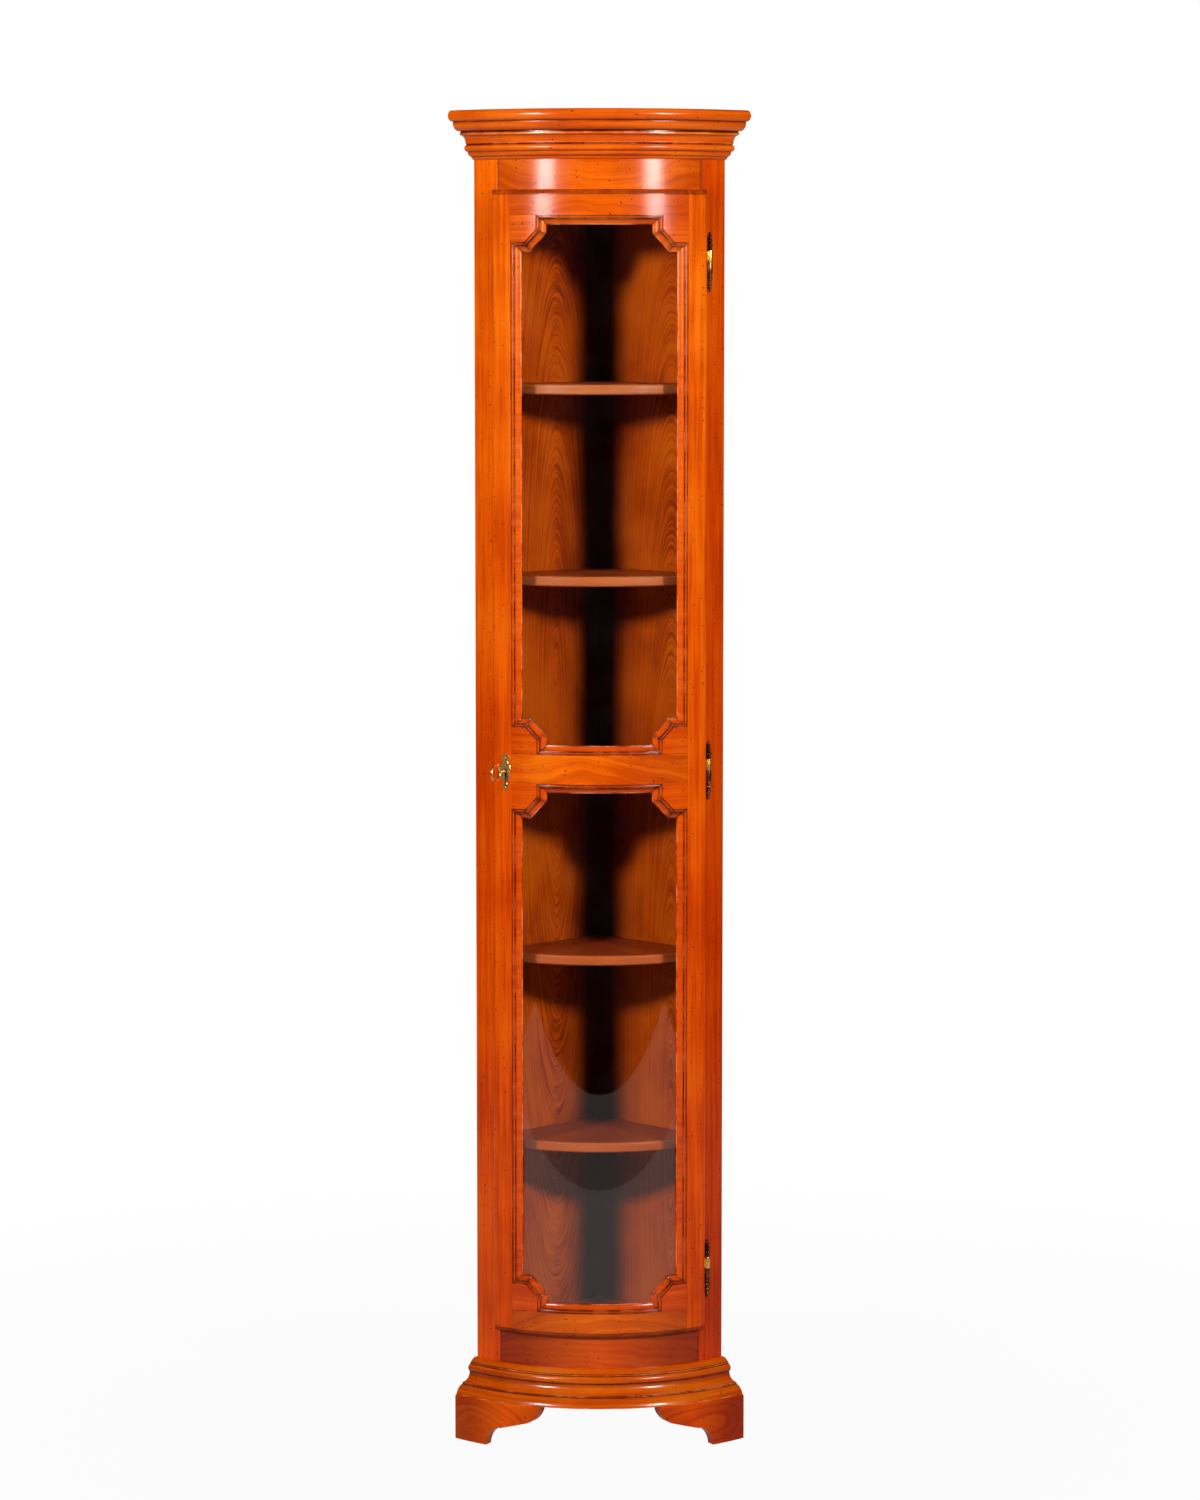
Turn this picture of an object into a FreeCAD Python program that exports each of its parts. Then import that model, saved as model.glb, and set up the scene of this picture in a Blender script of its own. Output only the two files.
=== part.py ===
import FreeCAD, Part
import Sketcher
import math
import os
from types import SimpleNamespace
from FreeCAD import Placement, Rotation, Vector

# Bow-fronted corner curio cabinet, in millimetres.
#
# The plan is a quarter round: the face frame, the door, the cornice and the plinth are all bowed
# about one upright line, the bow line, and two walls meet in a right angle just behind it. The
# origin is the middle of the bounding box on the floor; +Z is up, the front faces -Y, and angles
# on the bow run from the middle of the front, positive to the right (+X).

doc = FreeCAD.newDocument("corner_curio_cabinet")
sheet = doc.addObject("Spreadsheet::Sheet", "sizes")
OVERRUN = 5.0       # how far a cutting shape runs past what it cuts
ARC_STEP = 40.0     # a turned arc is drawn as chords of about this many degrees, but two at least
HALF_TURN = 180.0
QUARTER_TURN = 90.0
UP = Vector(0, 0, 1)

# ------------------------------------------------------------------ driving sizes

SIZES = [
    # carcase
    ("total_height", 1950, "floor to the top of the cornice"),
    ("front_radius", 249, "outer face of the face frame, from the bow line"),
    ("corner_setback", 11, "bow line back to the room corner"),
    ("panel_thickness", 10, "the two back panels"),
    ("frame_thickness", 20, "face frame, from front to back"),
    ("opening_half_angle", 35.84, "half of the door opening, on the bow"),
    ("opening_bottom", 171, "top of the base rail"),
    ("head_height", 121, "top of the cornice down to the underside of the frieze rail"),
    ("top_board_thickness", 15, "ceiling of the case"),
    ("top_board_rise", 6, "underside of the ceiling above the door opening"),
    ("bottom_board_thickness", 18, "floor of the case"),
    ("bottom_board_drop", 2, "floor of the case below the base rail"),
    ("lid_thickness", 14, "dust cover inside the cornice"),
    ("shelf_count", 5, "shelves between the floor and the ceiling of the case"),
    ("shelf_thickness", 15, "each shelf"),
    ("shelf_setback", 12, "front edge of the shelves behind the back of the frame"),
    ("shelf_nosing", 2, "easing of the shelves' front edges"),
    ("groove_depth", 4, "how deep the shelves are housed in the back panels"),
    # cornice, from the frame's face outwards and from the top down
    ("cornice_projection", 51.5, "furthest point of the half-round top member"),
    ("cornice_roll", 8, "radius of the half-round top member"),
    ("cornice_fillet", 1.6, "steps between the members"),
    ("cornice_ovolo", 12, "ovolo below the half-round"),
    ("cornice_cove", 11, "cove below the ovolo"),
    ("cornice_bead_radius", 4.6, "bead below the cove"),
    ("cornice_bead_projection", 14.5, "middle of the bead"),
    ("cornice_reed_height", 4.7, "each of the two reeds that meet the frame"),
    ("cornice_reed_width", 5.6, "the same, outwards"),
    ("cornice_reed_radius", 5.4, "their rounding"),
    # plinth moulding, from the frame's face outwards and from the feet up
    ("plinth_projection", 43, "lowest edge of the plinth moulding"),
    ("plinth_ovolo_height", 13, "ovolo at the bottom"),
    ("plinth_ovolo_width", 10.5, "the same, outwards"),
    ("plinth_ovolo_radius", 18, "its rounding"),
    ("plinth_fillet", 1.6, "steps between the members"),
    ("plinth_cove_height", 12.6, "cove above the ovolo"),
    ("plinth_cove_radius", 13.5, "its hollow"),
    ("plinth_neck", 16.2, "projection of the neck between cove and bead"),
    ("plinth_bead_height", 10.5, "bead above the neck"),
    ("plinth_bead_radius", 6, "its rounding"),
    ("plinth_crown_height", 5.6, "ovolo that meets the frame"),
    ("plinth_crown_radius", 12, "its rounding"),
    # feet
    ("foot_height", 66, "floor to the underside of the plinth moulding"),
    ("foot_projection", 45.5, "face of the front feet from the frame's face"),
    ("foot_thickness", 15, "board that the front feet are sawn from"),
    ("foot_edge_round", 2, "easing of the top edge of the feet"),
    ("foot_length", 150, "front foot along the bow, from the wall to the tip of the bracket"),
    ("foot_nose_width", 23, "rounded nose of the bracket, along the bow"),
    ("foot_nose_height", 26.5, "the same, upright"),
    ("foot_nose_radius", 30, "its rounding"),
    ("foot_shoulder_length", 89, "from the wall to where the bracket turns down"),
    ("foot_shoulder_height", 29, "the same, above the floor"),
    ("foot_pad_length", 61, "pad on the floor, from the wall"),
    ("foot_arch_radius", 30, "hollow between shoulder and pad"),
    ("foot_block_length", 37, "glue blocks, from the wall"),
    ("foot_block_lift", 3, "glue blocks clear of the floor"),
    ("rear_foot_width", 33, "block under the room corner"),
    # door
    ("door_thickness", 20, "door stiles and rails"),
    ("door_proud", 11, "door face in front of the frame's face"),
    ("door_lip", 8, "overlap of the lip on the frame"),
    ("door_lip_gap", 0.3, "back of the lip to the frame's face"),
    ("door_clearance", 2, "core of the door to the opening"),
    ("door_edge_ovolo", 7.5, "radius of the moulded edge"),
    ("door_edge_quirk", 1, "step between the door face and the moulded edge"),
    ("joint_half_angle", 29.6, "joint between stile and rail, on the bow"),
    ("top_rail_height", 37, "top rail with its lip"),
    ("middle_rail_bottom", 980.5, "underside of the middle rail"),
    ("middle_rail_height", 42.5, "middle rail"),
    ("bottom_rail_height", 36.5, "bottom rail with its lip"),
    ("block_width", 40.4, "corner blocks of the lights, along the bow"),
    ("block_height", 38.5, "corner blocks of the lights"),
    ("block_chamfer", 18, "corner taken off each block"),
    # glazing
    ("glass_thickness", 3, "bent glass"),
    ("glass_depth", 10.5, "front of the glass behind the door face"),
    ("glass_clearance", 1, "edge of the glass to the wood"),
    ("moulding_width", 13.5, "mitred moulding around the lights"),
    ("moulding_quirk", 1.2, "flat beside the moulding's bead"),
    ("moulding_sink", 2.2, "flats beside the bead below the door face"),
    ("moulding_bead", 3.2, "width of the moulding's bead"),
    ("moulding_bead_radius", 1.7, "its rounding"),
    ("moulding_step", 0.8, "flat on the inner side of the bead, and the step after it"),
    ("moulding_cove_radius", 10, "hollow that falls to the glass"),
    ("moulding_edge", 1.4, "flat and edge that lie on the glass"),
    ("stop_width", 8, "glass stops behind the glass"),
    ("stop_thickness", 5.5, "the same, from the glass to the back"),
    # hinges
    ("hinge_stand_off", 6.5, "hinge line in front of the frame's face"),
    ("hinge_offset", 3.8, "hinge line past the edge of the door"),
    ("hinge_top_drop", 104, "top of the door down to the joint of the top hinge"),
    ("hinge_middle_drop", 6.25, "middle of the middle rail down to the joint of the middle hinge"),
    ("hinge_bottom_rise", 92.5, "bottom of the door up to the joint of the bottom hinge"),
    ("knuckle_radius", 4.2, "hinge knuckles"),
    ("knuckle_height", 16.5, "each knuckle"),
    ("knuckle_gap", 0.3, "between the knuckles"),
    ("finial_neck", 3, "narrow places of the turned finials"),
    ("finial_ball", 7.6, "ball of the finial"),
    ("finial_urn", 15.4, "urn of the finial"),
    ("finial_urn_radius", 16, "its swell"),
    ("finial_tip", 3.8, "tip of the finial"),
    ("finial_tip_neck", 1.3, "narrow place below the tip"),
    ("pin_radius", 2.1, "hinge pins"),
    ("pin_clearance", 0.05, "pin to the bore of the door's knuckle"),
    ("pin_reach", 12, "pin above and below the joint"),
    ("leaf_thickness", 2, "hinge leaves let into the wood"),
    ("leaf_reach", 17, "outer end of the leaves from the hinge line"),
    ("leaf_height", 13, "hinge leaves"),
    # lock
    ("key_inset", 9.5, "joint between stile and rail to the key's line, on the door's face"),
    ("key_drop", 5.75, "middle of the middle rail down to the key's line"),
    ("case_edge", 0.2, "edge of the lock case back from the edge of the door"),
    ("case_cover", 0.5, "wood left between the lock case and the rail"),
    ("case_height", 44, "lock case"),
    ("case_depth", 9, "lock case with its cap"),
    ("case_wall", 1.5, "walls of the case"),
    ("cap_thickness", 1.2, "plate that closes the case"),
    ("bolt_height", 12, "lock bolt"),
    ("bolt_thickness", 3.5, "lock bolt, from front to back"),
    ("bolt_clearance", 0.3, "bolt to what it slides in"),
    ("bolt_tail", 6.5, "fork of the bolt past the key's line"),
    ("bolt_throw", 6, "travel of the bolt"),
    ("strike_height", 40, "strike plate in the frame's edge"),
    ("strike_width", 11, "the same, from front to back"),
    ("strike_thickness", 1.2, "the same"),
    ("key_shank_radius", 2, "shank of the key"),
    ("key_clearance", 0.05, "shank to its bore in the cap"),
    ("key_collar_radius", 3, "collar between shank and bow"),
    ("key_collar_length", 4, "the same"),
    ("key_stand_off", 11, "door face to the collar"),
    ("key_bow_radius", 11.3, "middle line of the ring"),
    ("key_bar_radius", 1.7, "half of the thickness of the ring"),
    ("key_bit_reach", 6, "end of the bit from the key's line"),
    ("key_bit_thickness", 1.8, "bit, across"),
    ("key_bit_length", 1.8, "bit, along the shank"),
    ("keyhole_radius", 3, "round part of the keyhole"),
    ("keyhole_width", 2.8, "slot of the keyhole"),
    ("keyhole_drop", 8, "end of the slot below the key's line"),
    ("escutcheon_thickness", 1.5, "brass plate around the keyhole"),
    ("escutcheon_crown", 26.5, "upper tip above the key's line"),
    ("escutcheon_wing_height", 19.5, "upper corners above the key's line"),
    ("escutcheon_half_width", 8.6, "widest places from the middle"),
    ("escutcheon_notch_radius", 4.4, "round bites in the sides"),
    ("escutcheon_shoulder_height", 10.5, "lower end of the upper bites"),
    ("escutcheon_belly_radius", 15, "rounding of the sides"),
    ("escutcheon_waist", 3.6, "half width of the lower waist"),
    ("escutcheon_waist_drop", 13.5, "lower waist below the key's line"),
    ("escutcheon_ear_drop", 20.5, "lower corners below the key's line"),
    ("escutcheon_foot", 26.5, "lower tip below the key's line"),
]


class Size:
    """A length or an angle, as its number and as the expression that reads it from the sheet."""

    def __init__(self, number, text):
        self.number = number
        self.text = text

    def __float__(self):
        return self.number

    def __add__(self, other):
        return joined(self, "+", other, float(self) + float(other))

    def __sub__(self, other):
        return joined(self, "-", other, float(self) - float(other))

    def __mul__(self, other):
        return joined(self, "*", other, float(self) * float(other))

    def __truediv__(self, other):
        return joined(self, "/", other, float(self) / float(other))

    def __neg__(self):
        return Size(-self.number, f"(0 - {self.text})")


def sized(value):
    """A plain number as a Size."""
    return value if isinstance(value, Size) else Size(float(value), text_of(value))


def text_of(value):
    return value.text if isinstance(value, Size) else f"({float(value)!r})"


def joined(left, sign, right, number):
    return Size(number, f"({text_of(left)} {sign} {text_of(right)})")


def root(value):
    return Size(math.sqrt(float(value)), f"sqrt({text_of(value)})")


def sine(angle):
    return Size(math.sin(math.radians(float(angle))), f"sin({text_of(angle)} * 1 deg)")


def cosine(angle):
    return Size(math.cos(math.radians(float(angle))), f"cos({text_of(angle)} * 1 deg)")


def on_bow(length, radius):
    """The angle that a length along the bow spans at a radius."""
    return length * (HALF_TURN / math.pi) / radius


def wall_reach(radius):
    """The length along the bow, at a radius, from the middle of the front to the wall."""
    share = given.corner_setback / (radius * math.sqrt(2))
    lean = Size(math.asin(float(share)), f"(asin({share.text}) / 1 rad)")
    return (lean + math.pi / 4) * radius


given = SimpleNamespace()
for row, (alias, number, meaning) in enumerate(SIZES, start=1):
    sheet.set(f"A{row}", alias)
    sheet.set(f"B{row}", str(number))
    sheet.set(f"C{row}", meaning)
    sheet.setAlias(f"B{row}", alias)
    setattr(given, alias, Size(float(number), f"sizes.{alias}"))
doc.recompute()

# ------------------------------------------------------------------ sizes that follow

cornice_radius = given.front_radius + given.cornice_projection
bow_y = (cornice_radius - given.corner_setback) / 2        # the box is centred on the origin
frame_back = given.front_radius - given.frame_thickness
door_face = given.front_radius + given.door_proud
door_back = door_face - given.door_thickness
lip_back = given.front_radius + given.door_lip_gap
lip_angle = given.opening_half_angle + on_bow(given.door_lip, given.front_radius)
core_angle = given.opening_half_angle - on_bow(given.door_clearance, given.front_radius)
opening_top = given.total_height - given.head_height
lip_top = opening_top + given.door_lip
lip_bottom = given.opening_bottom - given.door_lip
glass_face = door_face - given.glass_depth
glass_back = glass_face - given.glass_thickness
lid_bottom = given.total_height - given.lid_thickness
floor_top = given.opening_bottom - given.bottom_board_drop
ceiling = opening_top + given.top_board_rise
shelf_pitch = (ceiling - floor_top) / (given.shelf_count + 1)
shelf_radius = frame_back - given.shelf_setback
rail_middle = given.middle_rail_bottom + given.middle_rail_height / 2
upper_light_top = lip_top - given.top_rail_height
upper_light_bottom = given.middle_rail_bottom + given.middle_rail_height
lower_light_bottom = lip_bottom + given.bottom_rail_height
hinge_radius = given.front_radius + given.hinge_stand_off
hinge_angle = lip_angle + on_bow(given.hinge_offset, hinge_radius)
lock_height = rail_middle - given.key_drop
lock_half_angle = given.joint_half_angle + on_bow(given.key_inset, door_face)
lock_angle = -lock_half_angle
case_backset = (core_angle - lock_half_angle) * door_back * (math.pi / HALF_TURN) - given.case_edge
case_width = case_backset + given.key_inset * door_back / door_face - given.case_cover
case_front = door_back + given.case_depth
wide_angle = given.opening_half_angle * 1.5                # past both walls on every radius


# ------------------------------------------------------------------ helpers

def bind(thing, name, value):
    thing.setExpression(name, text_of(value))


def place(thing, x=0, y=0, z=0, turn=0):
    """Put a thing at a point, turned about the vertical, from the sheet's sizes."""
    thing.Placement = Placement(Vector(float(x), float(y), float(z)), Rotation(UP, float(turn)))
    for axis, value in (("x", x), ("y", y), ("z", z)):
        if isinstance(value, Size):
            bind(thing, f"Placement.Base.{axis}", value)
    if isinstance(turn, Size):
        thing.setExpression("Placement.Rotation.Angle", f"{turn.text} * 1 deg")
    return thing


def add(kind, name, **sizes):
    thing = doc.addObject(kind, name)
    for prop, value in sizes.items():
        bind(thing, prop, value)
    return thing


def boolean(kind, name, base, tool):
    thing = doc.addObject(kind, name)
    thing.Base = base
    thing.Tool = tool
    return thing


def cut(name, base, tool):
    return boolean("Part::Cut", name, base, tool)


def common(name, base, tool):
    return boolean("Part::Common", name, base, tool)


def fuse(name, things):
    thing = doc.addObject("Part::MultiFuse", name)
    thing.Shapes = things
    return thing


def group(name, things):
    thing = doc.addObject("Part::Compound", name)
    thing.Links = things
    return thing


def mirrored(name, thing, normal=Vector(1, 0, 0), height=None):
    """The thing seen in a mirror: left to right, or top to bottom at a height."""
    copy = doc.addObject("Part::Mirroring", name)
    copy.Source = thing
    copy.Normal = normal
    if height is not None:
        copy.Base = Vector(0, 0, float(height))
        bind(copy, "Base.z", height)
    return copy


def slice_of_round(name, radius, low, high, start=-HALF_TURN, end=HALF_TURN):
    """An upright cylinder on the bow line, or the slice of it between two angles on the bow."""
    thing = add("Part::Cylinder", name, Radius=radius, Height=high - low, Angle=sized(end) - start)
    return place(thing, y=bow_y, z=low, turn=sized(start) - QUARTER_TURN)


def bowed_board(name, inner, outer, low, high, start, end):
    """A board bent to the bow, between two radii, two heights and two angles."""
    solid = slice_of_round(name + "_round", outer, low, high, start, end)
    hollow = slice_of_round(name + "_hollow", inner, low - OVERRUN, high + OVERRUN)
    return cut(name, solid, hollow)


def turned_box(name, angle, near, depth, side, width, low, height):
    """A box whose depth runs outwards along the bow's radius at an angle, and whose width runs
    along the bow; side is its left end, measured from that radius."""
    box = add("Part::Box", name, Length=depth, Width=width, Height=height)
    return place(box, x=near * sine(angle) + side * cosine(angle),
                 y=bow_y - near * cosine(angle) + side * sine(angle), z=low, turn=angle - QUARTER_TURN)


def wedge(name, inset):
    """The room corner as a solid: all that lies in front of both walls, or an inset from them."""
    reach = cornice_radius * 2
    box = add("Part::Box", name, Length=reach, Width=reach, Height=given.total_height + 2 * OVERRUN)
    apex = bow_y + given.corner_setback - inset * math.sqrt(2)
    return place(box, y=apex, z=sized(-OVERRUN), turn=-HALF_TURN * 3 / 4)


def draw(sketch, outline):
    """Draw a closed outline of (x, y) corners. A third value is the radius of the arc that leads
    to the corner: positive where it turns left, negative where it turns right."""
    corners = [Vector(float(corner[0]), float(corner[1]), 0) for corner in outline]
    ends = []
    for index, start in enumerate(corners):
        after = (index + 1) % len(corners)
        end = corners[after]
        if len(outline[after]) == 2:
            sketch.addGeometry(Part.LineSegment(start, end), False)
            ends.append((1, 2))
            continue
        radius = abs(float(outline[after][2]))
        left = float(outline[after][2]) > 0
        chord = end - start
        rise = math.sqrt(max(radius ** 2 - (chord.Length / 2) ** 2, 0))
        normal = Vector(-chord.y, chord.x, 0).normalize() * (rise if left else -rise)
        centre = (start + end) * 0.5 + normal
        first, last = (start, end) if left else (end, start)
        begin, stop = [math.atan2(point.y - centre.y, point.x - centre.x) for point in (first, last)]
        stop = stop if stop > begin else stop + 2 * math.pi
        sketch.addGeometry(Part.ArcOfCircle(Part.Circle(centre, UP, radius), begin, stop), False)
        ends.append((1, 2) if left else (2, 1))
        arc = sketch.addConstraint(Sketcher.Constraint("Radius", index, radius))
        size = outline[after][2]
        if isinstance(size, Size):
            bind(sketch, f"Constraints[{arc}]", size if left else -size)
    for index, corner in enumerate(outline):
        after = (index + 1) % len(outline)
        sketch.addConstraint(Sketcher.Constraint("Coincident", index, ends[index][1], after, ends[after][0]))
        for kind, axis, value in (("DistanceX", -2, corner[0]), ("DistanceY", -1, corner[1])):
            if float(value) == 0:
                sketch.addConstraint(Sketcher.Constraint("PointOnObject", index, ends[index][0], axis))
                continue
            rule = sketch.addConstraint(
                Sketcher.Constraint(kind, -1, 1, index, ends[index][0], float(value)))
            if isinstance(value, Size):
                bind(sketch, f"Constraints[{rule}]", value)


def chorded(outline, step=ARC_STEP, fewest=2):
    """The outline with chords for its arcs, so that what is turned or bent has few facets."""
    corners = []
    for index, (x, y, *arc) in enumerate(outline):
        if arc:
            from_x, from_y = outline[index - 1][:2]
            run, rise = sized(x) - from_x, sized(y) - from_y
            half = math.asin(min(math.hypot(float(run), float(rise)) / abs(float(arc[0])) / 2, 1))
            count = max(fewest, round(math.degrees(half) * 2 / step))
            for number in range(1, count):
                turned = half - half * 2 * number / count
                along = (1 - math.sin(turned) / math.sin(half)) / 2
                bulge = (math.cos(turned) - math.cos(half)) / math.sin(half) / 2
                bulge = math.copysign(bulge, float(arc[0]))
                corners.append((run * along + rise * bulge + from_x, rise * along - run * bulge + from_y))
        corners.append((x, y))
    return corners


def body_with_outline(name, outline, role="XZ_Plane"):
    """A body whose first sketch lies on one of its own origin planes."""
    body = doc.addObject("PartDesign::Body", name)
    sketch = body.newObject("Sketcher::SketchObject", name + "_outline")
    plane = [item for item in body.Origin.OriginFeatures if item.Role == role][0]
    sketch.AttachmentSupport = [(plane, "")]
    sketch.MapMode = "FlatFace"
    draw(sketch, outline)
    return body, sketch


def lathe(name, outline, angle=None):
    """Turn an outline of (radius, height) corners about the body's own upright axis."""
    body, sketch = body_with_outline(name, chorded(outline))
    turning = body.newObject("PartDesign::Revolution", name + "_turning")
    turning.Profile = sketch
    turning.ReferenceAxis = (sketch, ["V_Axis"])
    turning.Midplane = True
    turning.Angle = 2 * HALF_TURN
    if angle is not None:
        bind(turning, "Angle", angle)
    return body


def run_moulding(name, outline):
    """A moulding of (radius, height) section, run along the whole front and past both walls."""
    body = lathe(name, outline, wide_angle * 2)
    return place(body, y=bow_y, turn=-QUARTER_TURN)


def radial_prism(name, outline, angle, low, near, length):
    """Push an outline of (along the bow, height) corners outwards along the radius at an angle."""
    body, sketch = body_with_outline(name, outline)
    pad = body.newObject("PartDesign::Pad", name + "_pad")
    pad.Profile = sketch
    bind(pad, "Length", length)
    return place(body, x=near * sine(angle), y=bow_y - near * cosine(angle), z=low, turn=angle)


sub_parts = []


def finish(thing, label):
    """Name a finished sub-part and put it on the list of what is written."""
    thing.Label = label
    sub_parts.append(thing)
    return thing


# ------------------------------------------------------------------ shelves, boards and back panels

room = wedge("room_corner", 0)
case_inside = wedge("case_inside", given.panel_thickness)
housing = wedge("housing_depth", given.panel_thickness - given.groove_depth)


def shelf_outline(underside):
    """Section of a shelf's outer half, with both edges of its front eased."""
    heart = shelf_radius / 2
    square = shelf_radius - given.shelf_nosing
    top = underside + given.shelf_thickness
    return [(heart, underside), (square, underside),
            (shelf_radius, underside + given.shelf_nosing),
            (shelf_radius, top - given.shelf_nosing), (square, top),
            (heart, top)]


def build_shelves():
    shelves = []
    for number in range(1, int(float(given.shelf_count)) + 1):
        name = f"shelf_{number}"
        underside = floor_top + shelf_pitch * number - given.shelf_thickness
        front = run_moulding(name + "_front", shelf_outline(underside))
        heart = slice_of_round(name + "_heart", shelf_radius / 2, underside,
                               underside + given.shelf_thickness)
        board = common(name + "_fitted", fuse(name + "_board", [front, heart]), housing)
        shelves.append(finish(board, name))
    return shelves


def build_back_panels(shelves):
    """Two boards that meet in a butt joint in the room corner, grooved for the shelves."""
    grooves = group("shelf_grooves", shelves)
    behind_frame = slice_of_round("behind_frame", frame_back, given.foot_height - OVERRUN,
                                  lid_bottom + OVERRUN)
    offset = given.panel_thickness / math.sqrt(2)
    for side, turn in (("left", -HALF_TURN * 3 / 4), ("right", -HALF_TURN / 4)):
        slab = add("Part::Box", f"{side}_panel_slab", Length=cornice_radius,
                   Width=given.panel_thickness, Height=lid_bottom - given.foot_height)
        place(slab, x=-offset, y=bow_y + given.corner_setback - offset, z=given.foot_height, turn=turn)
        board = common(f"{side}_panel_board", slab, behind_frame)
        finish(cut(f"{side}_panel_grooved", board, grooves), f"back_panel_{side}")


def flat_board(label, radius, low, thickness, fit):
    """A board of quarter-round plan that fills the case, or the room corner."""
    board = slice_of_round(label + "_round", radius, low, low + thickness)
    finish(common(label + "_fitted", board, fit), label)


build_back_panels(build_shelves())
flat_board("top_board", frame_back, ceiling, given.top_board_thickness, case_inside)
flat_board("bottom_board", frame_back, floor_top - given.bottom_board_thickness,
           given.bottom_board_thickness, case_inside)
flat_board("cornice_top_board", given.front_radius, lid_bottom, given.lid_thickness, room)

# ------------------------------------------------------------------ cornice and plinth moulding


def cornice_outline():
    """Half-round, ovolo, quirk and fillet, cove, bead and two reeds, from the bottom up."""
    step = given.cornice_fillet
    roll_side = given.cornice_projection - given.cornice_roll
    ovolo_top = given.cornice_roll * 2 + step
    ovolo_end = ovolo_top + given.cornice_ovolo
    quirk_end = ovolo_end + step * 1.5
    cove_top = quirk_end + step * 2
    cove_end = cove_top + given.cornice_cove
    bead_top = cove_end + step * 1.75
    bead_middle = bead_top + given.cornice_bead_radius
    bead_end = bead_middle + given.cornice_bead_radius
    reed_top = bead_end + step * 1.5
    reed_middle = reed_top + given.cornice_reed_height
    reed_end = reed_middle + given.cornice_reed_height
    ovolo_foot = roll_side - step - given.cornice_ovolo
    bead_side = given.cornice_bead_projection
    width = given.cornice_reed_width

    def at(projection, drop, radius=None):
        corner = (given.front_radius + projection, given.total_height - drop)
        return corner if radius is None else corner + (radius,)

    return [
        at(0, reed_end), at(width, reed_middle, given.cornice_reed_radius),
        at(width + step / 2, reed_middle),
        at(width * 2 + step / 2, reed_top, given.cornice_reed_radius),
        at(bead_side - step, bead_end), at(bead_side, bead_end),
        at(bead_side + given.cornice_bead_radius, bead_middle, given.cornice_bead_radius),
        at(bead_side, bead_top, given.cornice_bead_radius),
        at(bead_side + step / 2, bead_top), at(bead_side + step / 2, cove_end + step * 0.75),
        at(bead_side + step * 1.5, cove_end + step * 0.75), at(bead_side + step * 1.5, cove_end),
        at(ovolo_foot - step * 2, cove_top, -given.cornice_cove),
        at(ovolo_foot - step, cove_top), at(ovolo_foot - step, quirk_end),
        at(ovolo_foot - step * 2, quirk_end), at(ovolo_foot - step * 2, ovolo_end),
        at(ovolo_foot, ovolo_end), at(roll_side - step, ovolo_top, given.cornice_ovolo),
        at(roll_side - step, given.cornice_roll * 2), at(roll_side, given.cornice_roll * 2),
        at(given.cornice_projection, given.cornice_roll, given.cornice_roll),
        at(roll_side, 0, given.cornice_roll), at(0, 0),
    ]


def plinth_outline():
    """Ovolo, two fillets, cove, neck, bead, fillet and crown, from the feet up."""
    step = given.plinth_fillet
    ovolo_top = given.foot_height + given.plinth_ovolo_height
    ovolo_side = given.plinth_projection - given.plinth_ovolo_width
    cove_low = ovolo_top + step * 2
    cove_side = ovolo_side - step * 1.5
    cove_top = cove_low + given.plinth_cove_height
    bead_low = cove_top + step
    bead_top = bead_low + given.plinth_bead_height
    crown_low = bead_top + step * 2
    crown_side = given.plinth_neck - step * 2

    def at(projection, height, radius=None):
        corner = (given.front_radius + projection, height)
        return corner if radius is None else corner + (radius,)

    return [
        at(0, given.foot_height), at(given.plinth_projection, given.foot_height),
        at(ovolo_side, ovolo_top, given.plinth_ovolo_radius),
        at(ovolo_side - step * 0.75, ovolo_top), at(ovolo_side - step * 0.75, ovolo_top + step),
        at(cove_side, ovolo_top + step), at(cove_side, cove_low),
        at(given.plinth_neck, cove_top, -given.plinth_cove_radius),
        at(given.plinth_neck, bead_low),
        at(given.plinth_neck - step / 2, bead_top, given.plinth_bead_radius),
        at(crown_side + step, bead_top), at(crown_side + step, crown_low - step / 2),
        at(crown_side, crown_low - step / 2), at(crown_side, crown_low),
        at(step / 2, crown_low + given.plinth_crown_height, given.plinth_crown_radius),
        at(0, crown_low + given.plinth_crown_height),
    ]


def fitted_moulding(label, outline):
    """A moulding run past both walls and cut off flush with them."""
    finish(common(label + "_fitted", run_moulding(label + "_run", outline), room), label)


fitted_moulding("cornice_moulding", cornice_outline())
fitted_moulding("plinth_moulding", plinth_outline())

# ------------------------------------------------------------------ feet


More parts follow.
